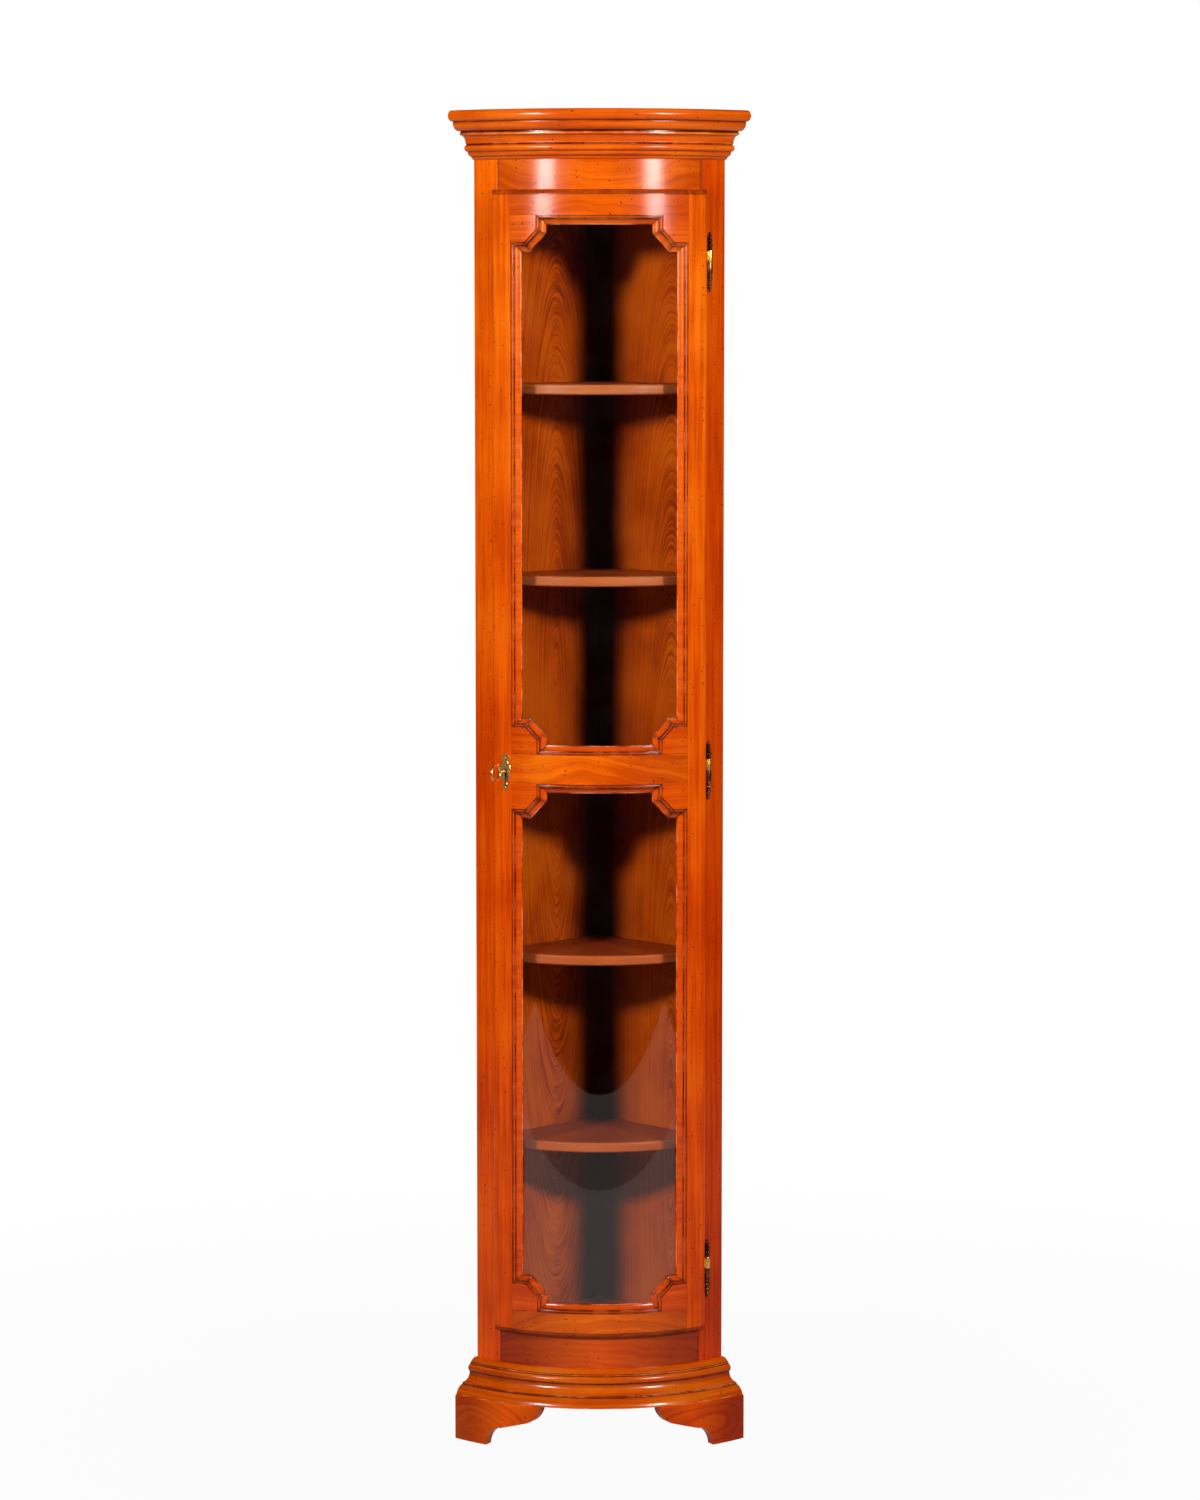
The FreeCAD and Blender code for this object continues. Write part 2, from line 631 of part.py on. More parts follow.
def build_feet():
    """Bracket feet sawn from bowed boards, their glue blocks, and the block in the corner."""
    face = given.front_radius + given.foot_projection
    back = face - given.foot_thickness
    wall = wall_reach(face)
    shoulder = wall - given.foot_shoulder_length
    nose_side = given.foot_shoulder_length - given.foot_length
    nose_end = nose_side + given.foot_nose_width
    pad_side = given.foot_shoulder_length - given.foot_pad_length
    section = [(back, 0), (face, 0), (face, given.foot_height - given.foot_edge_round),
               (face - given.foot_edge_round, given.foot_height), (back, given.foot_height)]
    beyond = given.foot_length              # runs past the wall
    bracket = [(beyond, 0), (beyond, given.foot_height + OVERRUN),
               (nose_side, given.foot_height + OVERRUN), (nose_side, given.foot_height),
               (nose_end, given.foot_height - given.foot_nose_height, given.foot_nose_radius),
               (0, given.foot_shoulder_height),
               (pad_side, 0, -given.foot_arch_radius)]
    board = run_moulding("foot_board", section)
    saw = radial_prism("foot_bracket", bracket, on_bow(shoulder, face), 0, given.front_radius,
                       given.foot_projection + OVERRUN)
    right = common("right_foot_fitted", common("right_foot_sawn", board, saw), room)
    block = bowed_board("foot_block_right", given.front_radius, back, given.foot_block_lift,
                        given.foot_height, on_bow(wall - given.foot_block_length, face), wide_angle)
    block = common("foot_block_right_fitted", block, room)
    finish(mirrored("left_foot", right), "foot_front_left")
    finish(right, "foot_front_right")
    finish(group("both_foot_blocks", [block, mirrored("foot_block_left", block)]), "foot_blocks")
    rear = add("Part::Box", "rear_foot_block", Length=given.rear_foot_width,
               Width=given.rear_foot_width, Height=given.foot_height)
    finish(place(rear, y=bow_y + given.corner_setback, turn=-HALF_TURN * 3 / 4), "foot_rear")


build_feet()

# ------------------------------------------------------------------ hinges

HINGES = (("top", lip_top - given.hinge_top_drop), ("middle", rail_middle - given.hinge_middle_drop),
          ("bottom", lip_bottom + given.hinge_bottom_rise))


def hinge_outline(bore, depth):
    """Knuckle and turned finial from the joint outwards, with its bore for the pin."""
    neck = given.finial_neck
    ball = given.finial_ball
    swell = given.knuckle_radius - neck
    ball_end = given.knuckle_height + ball
    urn_end = ball_end + given.finial_urn
    return [(bore, 0), (given.knuckle_radius, 0), (given.knuckle_radius, given.knuckle_height),
            (neck, given.knuckle_height), (neck, ball_end, (ball * ball / 4 + swell * swell) / (swell * 2)),
            (given.finial_tip_neck, urn_end, given.finial_urn_radius),
            (given.finial_tip_neck, urn_end + given.finial_tip / 2), (0, urn_end + given.finial_tip),
            (0, depth), (bore, depth)]


def leaf(name, low, towards_door):
    """A hinge leaf, from inside the knuckle into the wood of the door or of the frame."""
    start = given.pin_radius + given.leaf_thickness / 2
    length = given.leaf_reach - start
    half = given.leaf_thickness / 2
    if towards_door:
        return turned_box(name, hinge_angle, hinge_radius - half, given.leaf_thickness,
                          -given.leaf_reach, length, low, given.leaf_height)
    return turned_box(name, hinge_angle, hinge_radius - given.leaf_reach, length, -half,
                      given.leaf_thickness, low, given.leaf_height)


def build_hinge(which, joint):
    """Lower knuckle on the frame with a fixed pin, upper knuckle on the door running on the pin."""
    axis_x = hinge_radius * sine(hinge_angle)
    axis_y = bow_y - hinge_radius * cosine(hinge_angle)
    half_gap = given.knuckle_gap / 2
    turn = hinge_angle - QUARTER_TURN
    upper = lathe(f"{which}_upper_knuckle",
                  hinge_outline(given.pin_radius + given.pin_clearance, given.pin_reach + half_gap))
    place(upper, x=axis_x, y=axis_y, z=joint + half_gap, turn=turn)
    lower = lathe(f"{which}_lower_master", hinge_outline(given.pin_radius, given.pin_reach - half_gap))
    place(lower, x=axis_x, y=axis_y, z=joint + half_gap, turn=turn)
    lower = mirrored(f"{which}_lower_knuckle", lower, UP, joint)
    margin = (given.knuckle_height - given.leaf_height) / 2
    door_leaf = leaf(f"{which}_door_leaf", joint + half_gap + margin, True)
    frame_leaf = leaf(f"{which}_frame_leaf", joint - half_gap - margin - given.leaf_height, False)
    pin = add("Part::Cylinder", f"{which}_pin", Radius=given.pin_radius, Height=given.pin_reach * 2)
    place(pin, x=axis_x, y=axis_y, z=joint - given.pin_reach)
    return SimpleNamespace(
        door_leaf=door_leaf, frame_leaf=frame_leaf, pin=pin,
        door_half=fuse(f"{which}_door_half", [upper, door_leaf]),
        frame_half=fuse(f"{which}_frame_half", [lower, frame_leaf]))


hinges = [build_hinge(which, joint) for which, joint in HINGES]
finish(group("door_halves", [hinge.door_half for hinge in hinges]), "hinge_door_halves")
finish(group("frame_halves", [hinge.frame_half for hinge in hinges]), "hinge_frame_halves")
finish(group("pins", [hinge.pin for hinge in hinges]), "hinge_pins")
door_mortises = group("door_leaf_mortises", [hinge.door_leaf for hinge in hinges])
frame_mortises = group("frame_leaf_mortises", [hinge.frame_leaf for hinge in hinges])

# ------------------------------------------------------------------ lock, key and escutcheon

cap_front = door_back + given.cap_thickness
bolt_back = cap_front + given.bolt_clearance


def lock_box(name, near, depth, side, width, height):
    """A box in the lock, level with the key's line."""
    return turned_box(name, lock_angle, near, depth, side, width,
                      lock_height - height / 2, height)


def key_line_round(name, radius, near, length):
    """A cylinder along the key's line, in the key's own frame: +X points out of the door."""
    rod = add("Part::Cylinder", name, Radius=radius, Height=length)
    rod.Placement = Placement(Vector(float(near), 0, 0), Rotation(Vector(0, 1, 0), QUARTER_TURN))
    bind(rod, "Placement.Base.x", near)
    return rod


def on_key_line(thing):
    return place(thing, y=bow_y, z=lock_height, turn=lock_angle - QUARTER_TURN)


def keyhole_outline():
    radius = given.keyhole_radius
    half = given.keyhole_width / 2
    neck = root(radius * radius - half * half)
    return [(-half, -given.keyhole_drop), (half, -given.keyhole_drop), (half, -neck),
            (radius, 0, radius), (0, radius, radius), (-radius, 0, radius), (-half, -neck, radius)]


def build_lock():
    """Cut lock in the back of the lock stile: case, cap, and a forked bolt that clears the key."""
    outer = lock_box("lock_case_outside", cap_front, given.case_depth - given.cap_thickness,
                     -case_backset, case_width, given.case_height)
    inner = lock_box("lock_case_inside", cap_front,
                     given.case_depth - given.cap_thickness - given.case_wall,
                     given.case_wall - case_backset, case_width - given.case_wall * 2,
                     given.case_height - given.case_wall * 2)
    run = lock_box("bolt_run", bolt_back - given.bolt_clearance,
                   given.bolt_thickness + given.bolt_clearance * 2,
                   -case_backset - given.bolt_throw * 2, given.bolt_throw * 4,
                   given.bolt_height + given.bolt_clearance * 2)
    keyhole = radial_prism("keyhole", keyhole_outline(), lock_angle, lock_height, bolt_back,
                           given.door_thickness)
    finish(cut("lock_case_open", outer, group("lock_case_room", [inner, run, keyhole])), "lock_case")
    plate = lock_box("lock_cap_plate", door_back, given.cap_thickness, -case_backset,
                     case_width, given.case_height)
    bearing = on_key_line(group("key_bearing_bore", [
        key_line_round("key_bearing", given.key_shank_radius + given.key_clearance,
                       door_back - OVERRUN, given.cap_thickness + OVERRUN * 2)]))
    finish(cut("lock_cap_bored", plate, bearing), "lock_cap")
    blank = lock_box("lock_bolt_blank", bolt_back, given.bolt_thickness, -case_backset,
                     case_backset + given.bolt_tail, given.bolt_height)
    fork_side = given.key_shank_radius + given.bolt_clearance
    fork = lock_box("lock_bolt_fork", bolt_back - OVERRUN, given.bolt_thickness + OVERRUN * 2,
                    -fork_side, given.bolt_tail + fork_side + OVERRUN, fork_side * 2)
    finish(cut("lock_bolt_forked", blank, fork), "lock_bolt")
    mortise = lock_box("lock_case_mortise", door_back - OVERRUN, given.case_depth + OVERRUN,
                       -case_backset - given.door_clearance,
                       case_width + given.door_clearance, given.case_height)
    return run, group("lock_mortise", [mortise, keyhole])


def build_key():
    """Key with a ring bow, a collar, a shank through the door into the cap, and a bit."""
    shank_start = door_back + given.bolt_clearance
    collar_start = door_face + given.key_stand_off
    ring_middle = collar_start + given.key_collar_length + given.key_bow_radius
    shank = key_line_round("key_shank", given.key_shank_radius, shank_start,
                           collar_start - shank_start)
    collar = key_line_round("key_collar", given.key_collar_radius, collar_start,
                            given.key_collar_length)
    middle, bar = given.key_bow_radius, given.key_bar_radius
    ring = lathe("key_ring", [(middle - bar, -bar), (middle + bar, -bar), (middle + bar, bar),
                              (middle - bar, bar)])
    ring.Placement = Placement(Vector(float(ring_middle), 0, 0), Rotation(Vector(1, 0, 0), QUARTER_TURN))
    bind(ring, "Placement.Base.x", ring_middle)
    bit = add("Part::Box", "key_bit", Length=given.key_bit_length, Width=given.key_bit_thickness,
              Height=given.key_bit_reach)
    bit_start = bolt_back + given.bolt_thickness + given.bolt_clearance
    place(bit, x=bit_start, y=-given.key_bit_thickness / 2, z=-given.key_bit_reach)
    finish(on_key_line(fuse("key_whole", [shank, collar, ring, bit])), "key")


def escutcheon_outline():
    """Right half of the brass plate, from the foot up the side to the crown, round the keyhole."""
    half = given.escutcheon_half_width
    bite = given.escutcheon_notch_radius
    slot = given.keyhole_width / 2
    radius = given.keyhole_radius
    neck = root(radius * radius - slot * slot)
    return [
        (0, -given.keyhole_drop), (0, -given.escutcheon_foot),
        (half * 0.55, -given.escutcheon_ear_drop - bite * 0.5, bite * 1.5),
        (half * 0.92, -given.escutcheon_ear_drop, bite),
        (given.escutcheon_waist, -given.escutcheon_waist_drop, -bite),
        (half, 0, given.escutcheon_belly_radius),
        (half * 0.9, given.escutcheon_shoulder_height, given.escutcheon_belly_radius),
        (half * 0.95, given.escutcheon_wing_height, -bite * 1.05),
        (0, given.escutcheon_crown, given.escutcheon_belly_radius),
        (0, radius), (radius, 0, -radius), (slot, -neck, -radius), (slot, -given.keyhole_drop),
    ]


def build_escutcheon():
    """The plate, mirrored from its right half, flat against the bowed face of the stile."""
    body, sketch = body_with_outline("escutcheon_plate", escutcheon_outline())
    pad = body.newObject("PartDesign::Pad", "escutcheon_pad")
    pad.Profile = sketch
    bind(pad, "Length", given.escutcheon_thickness)
    other_half = body.newObject("PartDesign::Mirrored", "escutcheon_mirrored")
    other_half.Originals = [pad]
    other_half.MirrorPlane = (sketch, ["V_Axis"])
    body.Tip = other_half
    place(body, x=door_face * sine(lock_angle), y=bow_y - door_face * cosine(lock_angle),
          z=lock_height, turn=lock_angle)
    finish(body, "escutcheon")


bolt_run, lock_mortise = build_lock()
build_key()
build_escutcheon()

# ------------------------------------------------------------------ face frame


def build_frame():
    """Two stiles with the frieze rail and the base rail between them, let in for the fittings."""
    opening = given.opening_half_angle
    low, high = given.foot_height, lid_bottom
    plate_angle = opening + on_bow(given.strike_thickness, given.front_radius)
    plate_middle = (frame_back + given.front_radius) / 2
    plate = bowed_board("strike_blank", plate_middle - given.strike_width / 2,
                        plate_middle + given.strike_width / 2,
                        lock_height - given.strike_height / 2,
                        lock_height + given.strike_height / 2, -plate_angle, -opening)
    stiles = {
        "left": (bowed_board("left_stile_blank", frame_back, given.front_radius, low, high,
                             -wide_angle, -opening), group("left_stile_mortises", [plate, bolt_run])),
        "right": (bowed_board("right_stile_blank", frame_back, given.front_radius, low, high,
                              opening, wide_angle), frame_mortises),
    }
    for side, (blank, mortises) in stiles.items():
        stile = common(f"{side}_stile_fitted", blank, room)
        finish(cut(f"{side}_stile_mortised", stile, mortises), f"frame_stile_{side}")
    finish(cut("strike_plate_cut", plate, bolt_run), "strike_plate")
    finish(bowed_board("frieze_board", frame_back, given.front_radius, opening_top, high,
                       -opening, opening), "frieze_rail")
    finish(bowed_board("base_board", frame_back, given.front_radius, low, given.opening_bottom,
                       -opening, opening), "base_rail")


build_frame()

# ------------------------------------------------------------------ door


def door_shell():
    """The whole door as one bowed board: a moulded lip in front and a core that fills the opening."""
    face = door_face
    shallow = face - given.door_edge_quirk
    ovolo = given.door_edge_ovolo
    section = [(lip_back, lip_bottom), (shallow - ovolo, lip_bottom),
               (shallow, lip_bottom + ovolo, ovolo), (face, lip_bottom + ovolo),
               (face, lip_top - ovolo), (shallow, lip_top - ovolo),
               (shallow - ovolo, lip_top, ovolo), (lip_back, lip_top)]
    lip = place(lathe("door_lip_board", section, lip_angle * 2), y=bow_y, turn=-QUARTER_TURN)
    core = bowed_board("door_core", door_back, lip_back, given.opening_bottom + given.door_clearance,
                       opening_top - given.door_clearance, -core_angle, core_angle)
    waste = [(shallow - ovolo, -OVERRUN), (face + OVERRUN, -OVERRUN), (face + OVERRUN, ovolo),
             (shallow, ovolo), (shallow - ovolo, 0, -ovolo)]
    body, sketch = body_with_outline("door_edge_waste", waste, "XY_Plane")
    pad = body.newObject("PartDesign::Pad", "door_edge_waste_pad")
    pad.Profile = sketch
    bind(pad, "Length", lip_top - lip_bottom + OVERRUN * 2)
    place(body, y=bow_y, z=lip_bottom - OVERRUN, turn=-lip_angle - QUARTER_TURN)
    both = group("door_edges_waste", [body, mirrored("door_edge_waste_right", body)])
    return cut("door_shell", fuse("door_board", [lip, core]), both)


def build_door_frame():
    """Stiles over the full height, three rails between them."""
    shell = door_shell()
    joint = given.joint_half_angle
    beyond = door_face + OVERRUN
    low, high = lip_bottom - OVERRUN, lip_top + OVERRUN
    left = common("lock_stile_blank", shell, slice_of_round("lock_stile_span", beyond, low, high,
                                                            -wide_angle, -joint))
    right = common("hinge_stile_blank", shell, slice_of_round("hinge_stile_span", beyond, low, high,
                                                              joint, wide_angle))
    finish(cut("lock_stile_mortised", left, lock_mortise), "door_stile_lock_side")
    finish(cut("hinge_stile_mortised", right, door_mortises), "door_stile_hinge_side")
    for label, bottom, top in (("door_top_rail", upper_light_top, high),
                               ("door_middle_rail", given.middle_rail_bottom, upper_light_bottom),
                               ("door_bottom_rail", low, lower_light_bottom)):
        span = slice_of_round(label + "_span", beyond, bottom, top, -joint, joint)
        finish(common(label + "_fitted", shell, span), label)


def build_corner_blocks(light, bottom, top):
    """Four blocks that fill the corners of a light, each with its free corner taken off."""
    joint = -given.joint_half_angle
    inner = joint + on_bow(given.block_width, door_face)
    low = top - given.block_height
    chamfer = given.block_chamfer
    side = given.block_width + OVERRUN
    outline = [(-chamfer - OVERRUN, sized(-OVERRUN)), (OVERRUN, chamfer + OVERRUN),
               (OVERRUN, given.block_height + OVERRUN), (-side, given.block_height + OVERRUN),
               (-side, sized(-OVERRUN))]
    keep = radial_prism(f"{light}_block_outline", outline, inner, low, glass_face - OVERRUN,
                        given.glass_depth + OVERRUN * 2)
    square = bowed_board(f"{light}_block_square", glass_face, door_face, low, top, joint, inner)
    block = common(f"{light}_block", square, keep)
    pair = group(f"{light}_upper_blocks", [block, mirrored(f"{light}_block_right", block)])
    lower = mirrored(f"{light}_lower_blocks", pair, UP, (bottom + top) / 2)
    return finish(group(f"{light}_blocks", [pair, lower]), f"{light}_corner_blocks")


def build_glazing(light, bottom, top):
    """Bent glass between the stiles, behind the corner blocks, held by four stops."""
    joint = given.joint_half_angle
    edge = joint - on_bow(given.glass_clearance, glass_face)
    finish(bowed_board(f"{light}_glass_sheet", glass_back, glass_face,
                       bottom + given.glass_clearance, top - given.glass_clearance, -edge, edge),
           f"{light}_glass")
    back = glass_back - given.stop_thickness
    inner = joint - on_bow(given.stop_width, glass_back)
    stops = [
        bowed_board(f"{light}_stop_top", back, glass_back, top - given.stop_width, top, -joint, joint),
        bowed_board(f"{light}_stop_bottom", back, glass_back, bottom, bottom + given.stop_width,
                    -joint, joint),
        bowed_board(f"{light}_stop_left", back, glass_back, bottom + given.stop_width,
                    top - given.stop_width, -joint, -inner),
        bowed_board(f"{light}_stop_right", back, glass_back, bottom + given.stop_width,
                    top - given.stop_width, inner, joint),
    ]
    finish(group(f"{light}_stops", stops), f"{light}_glass_stops")


LIGHTS = (("upper", upper_light_bottom, upper_light_top),
          ("lower", lower_light_bottom, given.middle_rail_bottom))
build_door_frame()
corner_blocks = {light: build_corner_blocks(light, bottom, top) for light, bottom, top in LIGHTS}
for light, bottom, top in LIGHTS:
    build_glazing(light, bottom, top)

# ------------------------------------------------------------------ mitred mouldings of the lights
#
# Each light is framed by sixteen strips of one section, mitred where they meet. The long strips at
# the top and the bottom are bent to the bow; the others are straight and lie along its tangent.


def moulding_outline():
    """Section of the strips: across from the wood inwards, and down from the door's face."""
    sink = given.moulding_sink
    depth = given.glass_depth
    bead_end = given.moulding_quirk + given.moulding_bead
    step = given.moulding_step
    edge = given.moulding_edge
    return [(0, sink), (given.moulding_quirk, sink), (bead_end, sink, given.moulding_bead_radius),
            (bead_end + step, sink), (bead_end + step, sink + step),
            (given.moulding_width - edge, depth - edge, -given.moulding_cove_radius),
            (given.moulding_width, depth - edge), (given.moulding_width, depth), (0, depth)]


def on_door_face(reach, height):
    """The point of the door's face at a reach along the bow and a height, and its radius."""
    angle = reach / float(door_face)
    outwards = Vector(math.sin(angle), -math.cos(angle), 0)
    along = Vector(math.cos(angle), math.sin(angle), 0)
    return Vector(0, float(bow_y), height) + outwards * float(door_face), outwards, along


def light_outline(bottom, top):
    """Corners of a light, anticlockwise seen from the front, as reach along the bow and height."""
    joint = math.radians(float(given.joint_half_angle)) * float(door_face)
    block = joint - float(given.block_width)
    cut_in = block + float(given.block_chamfer)
    rise = float(given.block_height)
    short = rise - float(given.block_chamfer)
    quarter = [(block, 0), (block, short), (cut_in, rise), (joint, rise)]
    low = [(reach, bottom + height) for reach, height in quarter]
    high = [(reach, top - height) for reach, height in reversed(quarter)]
    right = low + high
    return right + [(-reach, height) for reach, height in reversed(right)]


def inward(start, end):
    length = math.hypot(end[0] - start[0], end[1] - start[1])
    return -(end[1] - start[1]) / length, (end[0] - start[0]) / length


def beyond_mitre(corner, before, after, towards):
    """All that a strip must lose past the mitre at one of its corners."""
    size = float(given.moulding_width) * 4
    here, outwards, along = on_door_face(*corner)
    slope = (before[0] + after[0], before[1] + after[1])
    mitre = along * slope[0] + UP * slope[1]
    normal = mitre.cross(outwards).normalize()
    keep = along * towards[0] + UP * towards[1]
    if normal.dot(keep) > 0:
        normal = -normal
    waste = Part.makeBox(size, size, size, Vector(-size / 2, -size / 2, 0))
    waste.Placement = Placement(here, Rotation(UP, normal))
    return waste


def strip(section, start, end):
    """One strip along an edge of the light, longer than the edge by its own width at each end."""
    width = float(given.moulding_width)
    across = inward(start, end)
    if start[1] == end[1] and abs(end[0] - start[0]) > width * 3:
        first = (start[0] - width, start[1]) if end[0] > start[0] else (end[0] - width, end[1])
        here, outwards, along = on_door_face(*first)
        face = section.copy()
        inwards = UP * across[1]
        face.Placement = Placement(here, Rotation(inwards, -outwards, inwards.cross(-outwards), "XYZ"))
        span = (abs(end[0] - start[0]) + width * 2) / float(door_face) * HALF_TURN / math.pi
        return face.revolve(Vector(0, float(bow_y), 0), UP, span)
    length = math.hypot(end[0] - start[0], end[1] - start[1])
    seat = 0 if start[0] == end[0] else width / 2           # an upright strip fits a radial joint
    middle = [(start[axis] + end[axis]) / 2 + across[axis] * seat for axis in (0, 1)]
    here, outwards, along = on_door_face(*middle)
    inwards = along * across[0] + UP * across[1]
    run = along * ((end[0] - start[0]) / length) + UP * ((end[1] - start[1]) / length)
    face = section.copy()
    origin = here - inwards * seat - run * (length / 2 + width)
    face.Placement = Placement(origin, Rotation(inwards, -outwards, inwards.cross(-outwards), "XYZ"))
    return face.extrude(run * (length + width * 2))


def build_mouldings(section_sketch):
    section = Part.Face(section_sketch.Shape.Wires[0])
    for light, bottom, top in LIGHTS:
        corners = light_outline(float(bottom), float(top))
        count = len(corners)
        strips = []
        for index, start in enumerate(corners):
            before = corners[index - 1]
            end = corners[(index + 1) % count]
            after = corners[(index + 2) % count]
            here = inward(start, end)
            forwards = (end[0] - start[0], end[1] - start[1])
            backwards = (-forwards[0], -forwards[1])
            blank = strip(section, start, end)
            if start[0] != end[0] and start[1] != end[1]:
                blank = blank.cut(corner_blocks[light].Shape)
            blank = blank.cut(beyond_mitre(start, inward(before, start), here, forwards))
            strips.append(blank.cut(beyond_mitre(end, here, inward(end, after), backwards)))
        moulding = doc.addObject("Part::Feature", f"{light}_moulding")
        moulding.Shape = Part.makeCompound([solid for item in strips for solid in item.Solids])
        finish(moulding, f"{light}_glass_moulding")


moulding_section = doc.addObject("Sketcher::SketchObject", "moulding_section")
draw(moulding_section, chorded(moulding_outline(), ARC_STEP * 3 / 2))
doc.recompute()
build_mouldings(moulding_section)

# ------------------------------------------------------------------ check and write

doc.recompute()
faults = [item.Name for item in doc.Objects if "Invalid" in item.State or "Error" in item.State]
faults += [item.Label for item in sub_parts
           if item.Shape.isNull() or not item.Shape.isValid() or not item.Shape.Solids]
if faults:
    raise RuntimeError("not built: " + ", ".join(faults))
os.makedirs("parts", exist_ok=True)
for item in sub_parts:
    item.Shape.exportStep(os.path.join("parts", item.Label + ".step"))
print(f"{len(sub_parts)} sub-parts, {sum(len(item.Shape.Solids) for item in sub_parts)} solids")
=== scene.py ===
"""The looks of a bow-fronted corner curio cabinet in polished cherry, dressed on its CAD frame.

Lengths below are in millimetres unless a comment says otherwise, in the frame of the CAD model: the front
is bowed about an upright line at (0, BOW_Y), and the two room walls meet behind it at (0, CORNER_Y).
"""

import math

import bmesh
import bpy
import numpy as np
from mathutils import Matrix, Vector


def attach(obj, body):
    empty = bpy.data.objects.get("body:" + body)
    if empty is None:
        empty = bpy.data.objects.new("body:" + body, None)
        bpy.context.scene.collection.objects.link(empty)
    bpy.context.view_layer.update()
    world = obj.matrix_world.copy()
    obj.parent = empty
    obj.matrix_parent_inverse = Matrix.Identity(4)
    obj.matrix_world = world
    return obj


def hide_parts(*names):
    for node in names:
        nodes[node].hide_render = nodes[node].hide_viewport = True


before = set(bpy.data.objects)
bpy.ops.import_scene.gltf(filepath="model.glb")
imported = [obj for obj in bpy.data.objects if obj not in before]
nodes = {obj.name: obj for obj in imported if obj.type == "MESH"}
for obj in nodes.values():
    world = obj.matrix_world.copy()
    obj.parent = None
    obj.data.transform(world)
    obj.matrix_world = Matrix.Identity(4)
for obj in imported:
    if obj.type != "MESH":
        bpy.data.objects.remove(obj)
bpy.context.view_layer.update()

# ---------------- sizes shared with the frame

MM = 0.001
BOW_Y = 144.75
CORNER_Y = 155.75
FRONT = 249                 # radius of the frame's face
DOOR_FACE = 260             # radius of the door's face
TOP = 1950                  # top of the cabinet
# Joints of the frame's stiles and rails, and a line of painted shade beside the door: place along the door's
# face from the middle, bottom and top.
FRAME_LINES = ((162.6, 0, 1950), (173.2, 163, 1837))
JOINT_REACH = 134.3         # middle of the door to the joints of stiles and rails, along the bow
LIGHTS = {"upper": (1023, 1800), "lower": (199.5, 980.5)}    # bottom and top of the two lights
BLOCK_WIDTH = 40.4
BLOCK_HEIGHT = 38.5
BLOCK_CHAMFER = 18
HINGE_RADIUS = 255.5
HINGE_ANGLE = math.radians(38.53)
HINGE_JOINTS = (1733, 995.5, 255.5)                          # heights between the two knuckles
KEY_ANGLE = math.radians(-31.69)
KEY_HEIGHT = 996
PEG_ANGLE = math.radians(-37.6)
PEG_HEIGHT = 126
BACK_SKIN = 3               # a back panel's surface this near to the walls is its outer side
KNUCKLE = 4.2               # radius of the hinge knuckles
KNUCKLE_HEIGHT = 16.5

# ---------------- geometry helpers


def on_bow(radius, angle, height):
    """The point at a radius and an angle from the middle of the front."""
    return Vector((radius * math.sin(angle), BOW_Y - radius * math.cos(angle), height))


def facing_out(radius, angle, height):
    """The matrix that brings a shape there, with its own X pointing outwards from the bow."""
    turn = Matrix.Rotation(angle - math.pi / 2, 4, "Z")
    return Matrix.Translation(on_bow(radius, angle, height)) @ turn


def wall_angle(radius):
    """Angle at which a circle about the bow's centre meets the right-hand wall."""
    return math.radians(45) + math.asin((CORNER_Y - BOW_Y) / (radius * math.sqrt(2)))


def rounded(outline, step=1.0):
    """An outline's points, where a third value is the radius of the arc that leads to that point.

    The arc turns left for a positive radius and right for a negative one."""
    points = [Vector(outline[0][:2])]
    for x, y, *bend in outline[1:]:
        start, end = points[-1], Vector((x, y))
        if bend:
            radius = abs(bend[0])
            chord = end - start
            half = math.asin(min(1, chord.length / 2 / radius))
            side = math.copysign(1, bend[0])
            across = Vector((-chord.y, chord.x)).normalized() * side
            centre = (start + end) / 2 + across * radius * math.cos(half)
            count = max(3, math.ceil(2 * half * radius / step))
            for index in range(1, count):
                turn = Matrix.Rotation(side * 2 * half * index / count, 2)
                points.append(centre + turn @ (start - centre))
        points.append(end)
    return points


def neighbours(points):
    """Each point of a closed outline, between the one before and the one after it."""
    return zip(points[-1:] + points[:-1], points, points[1:] + points[:1])


def eased(points, radius=0.4):
    """A closed outline with its sharp corners slightly rounded."""
    made = []
    for previous, point, following in neighbours(points):
        before = previous - point
        after = following - point
        if before.length < 1e-6 or after.length < 1e-6:
            continue
        turn = math.pi - before.angle(after)
        if turn < math.radians(25):
            made.append(point)
            continue
        cut = min(radius * math.tan(turn / 2), before.length * 0.45, after.length * 0.45)
        start = point + before.normalized() * cut
        end = point + after.normalized() * cut
        made += [start, (start + end) / 4 + point / 2, end]
    return made


def closer(points, near=(0.7, 1.8), longest=14):
    """A closed outline with more points near its corners, so that marks on them stay local."""
    made = []
    for start, end in zip(points, points[1:] + points[:1]):
        length = (end - start).length
        shares = {0.0}
        for gap in near:
            if length > gap * 3:
                shares |= {gap / length, 1 - gap / length}
        whole = math.ceil(length / longest)
        shares |= {number / whole for number in range(1, whole)}
        made += [start.lerp(end, share) for share in sorted(shares)]
    return made


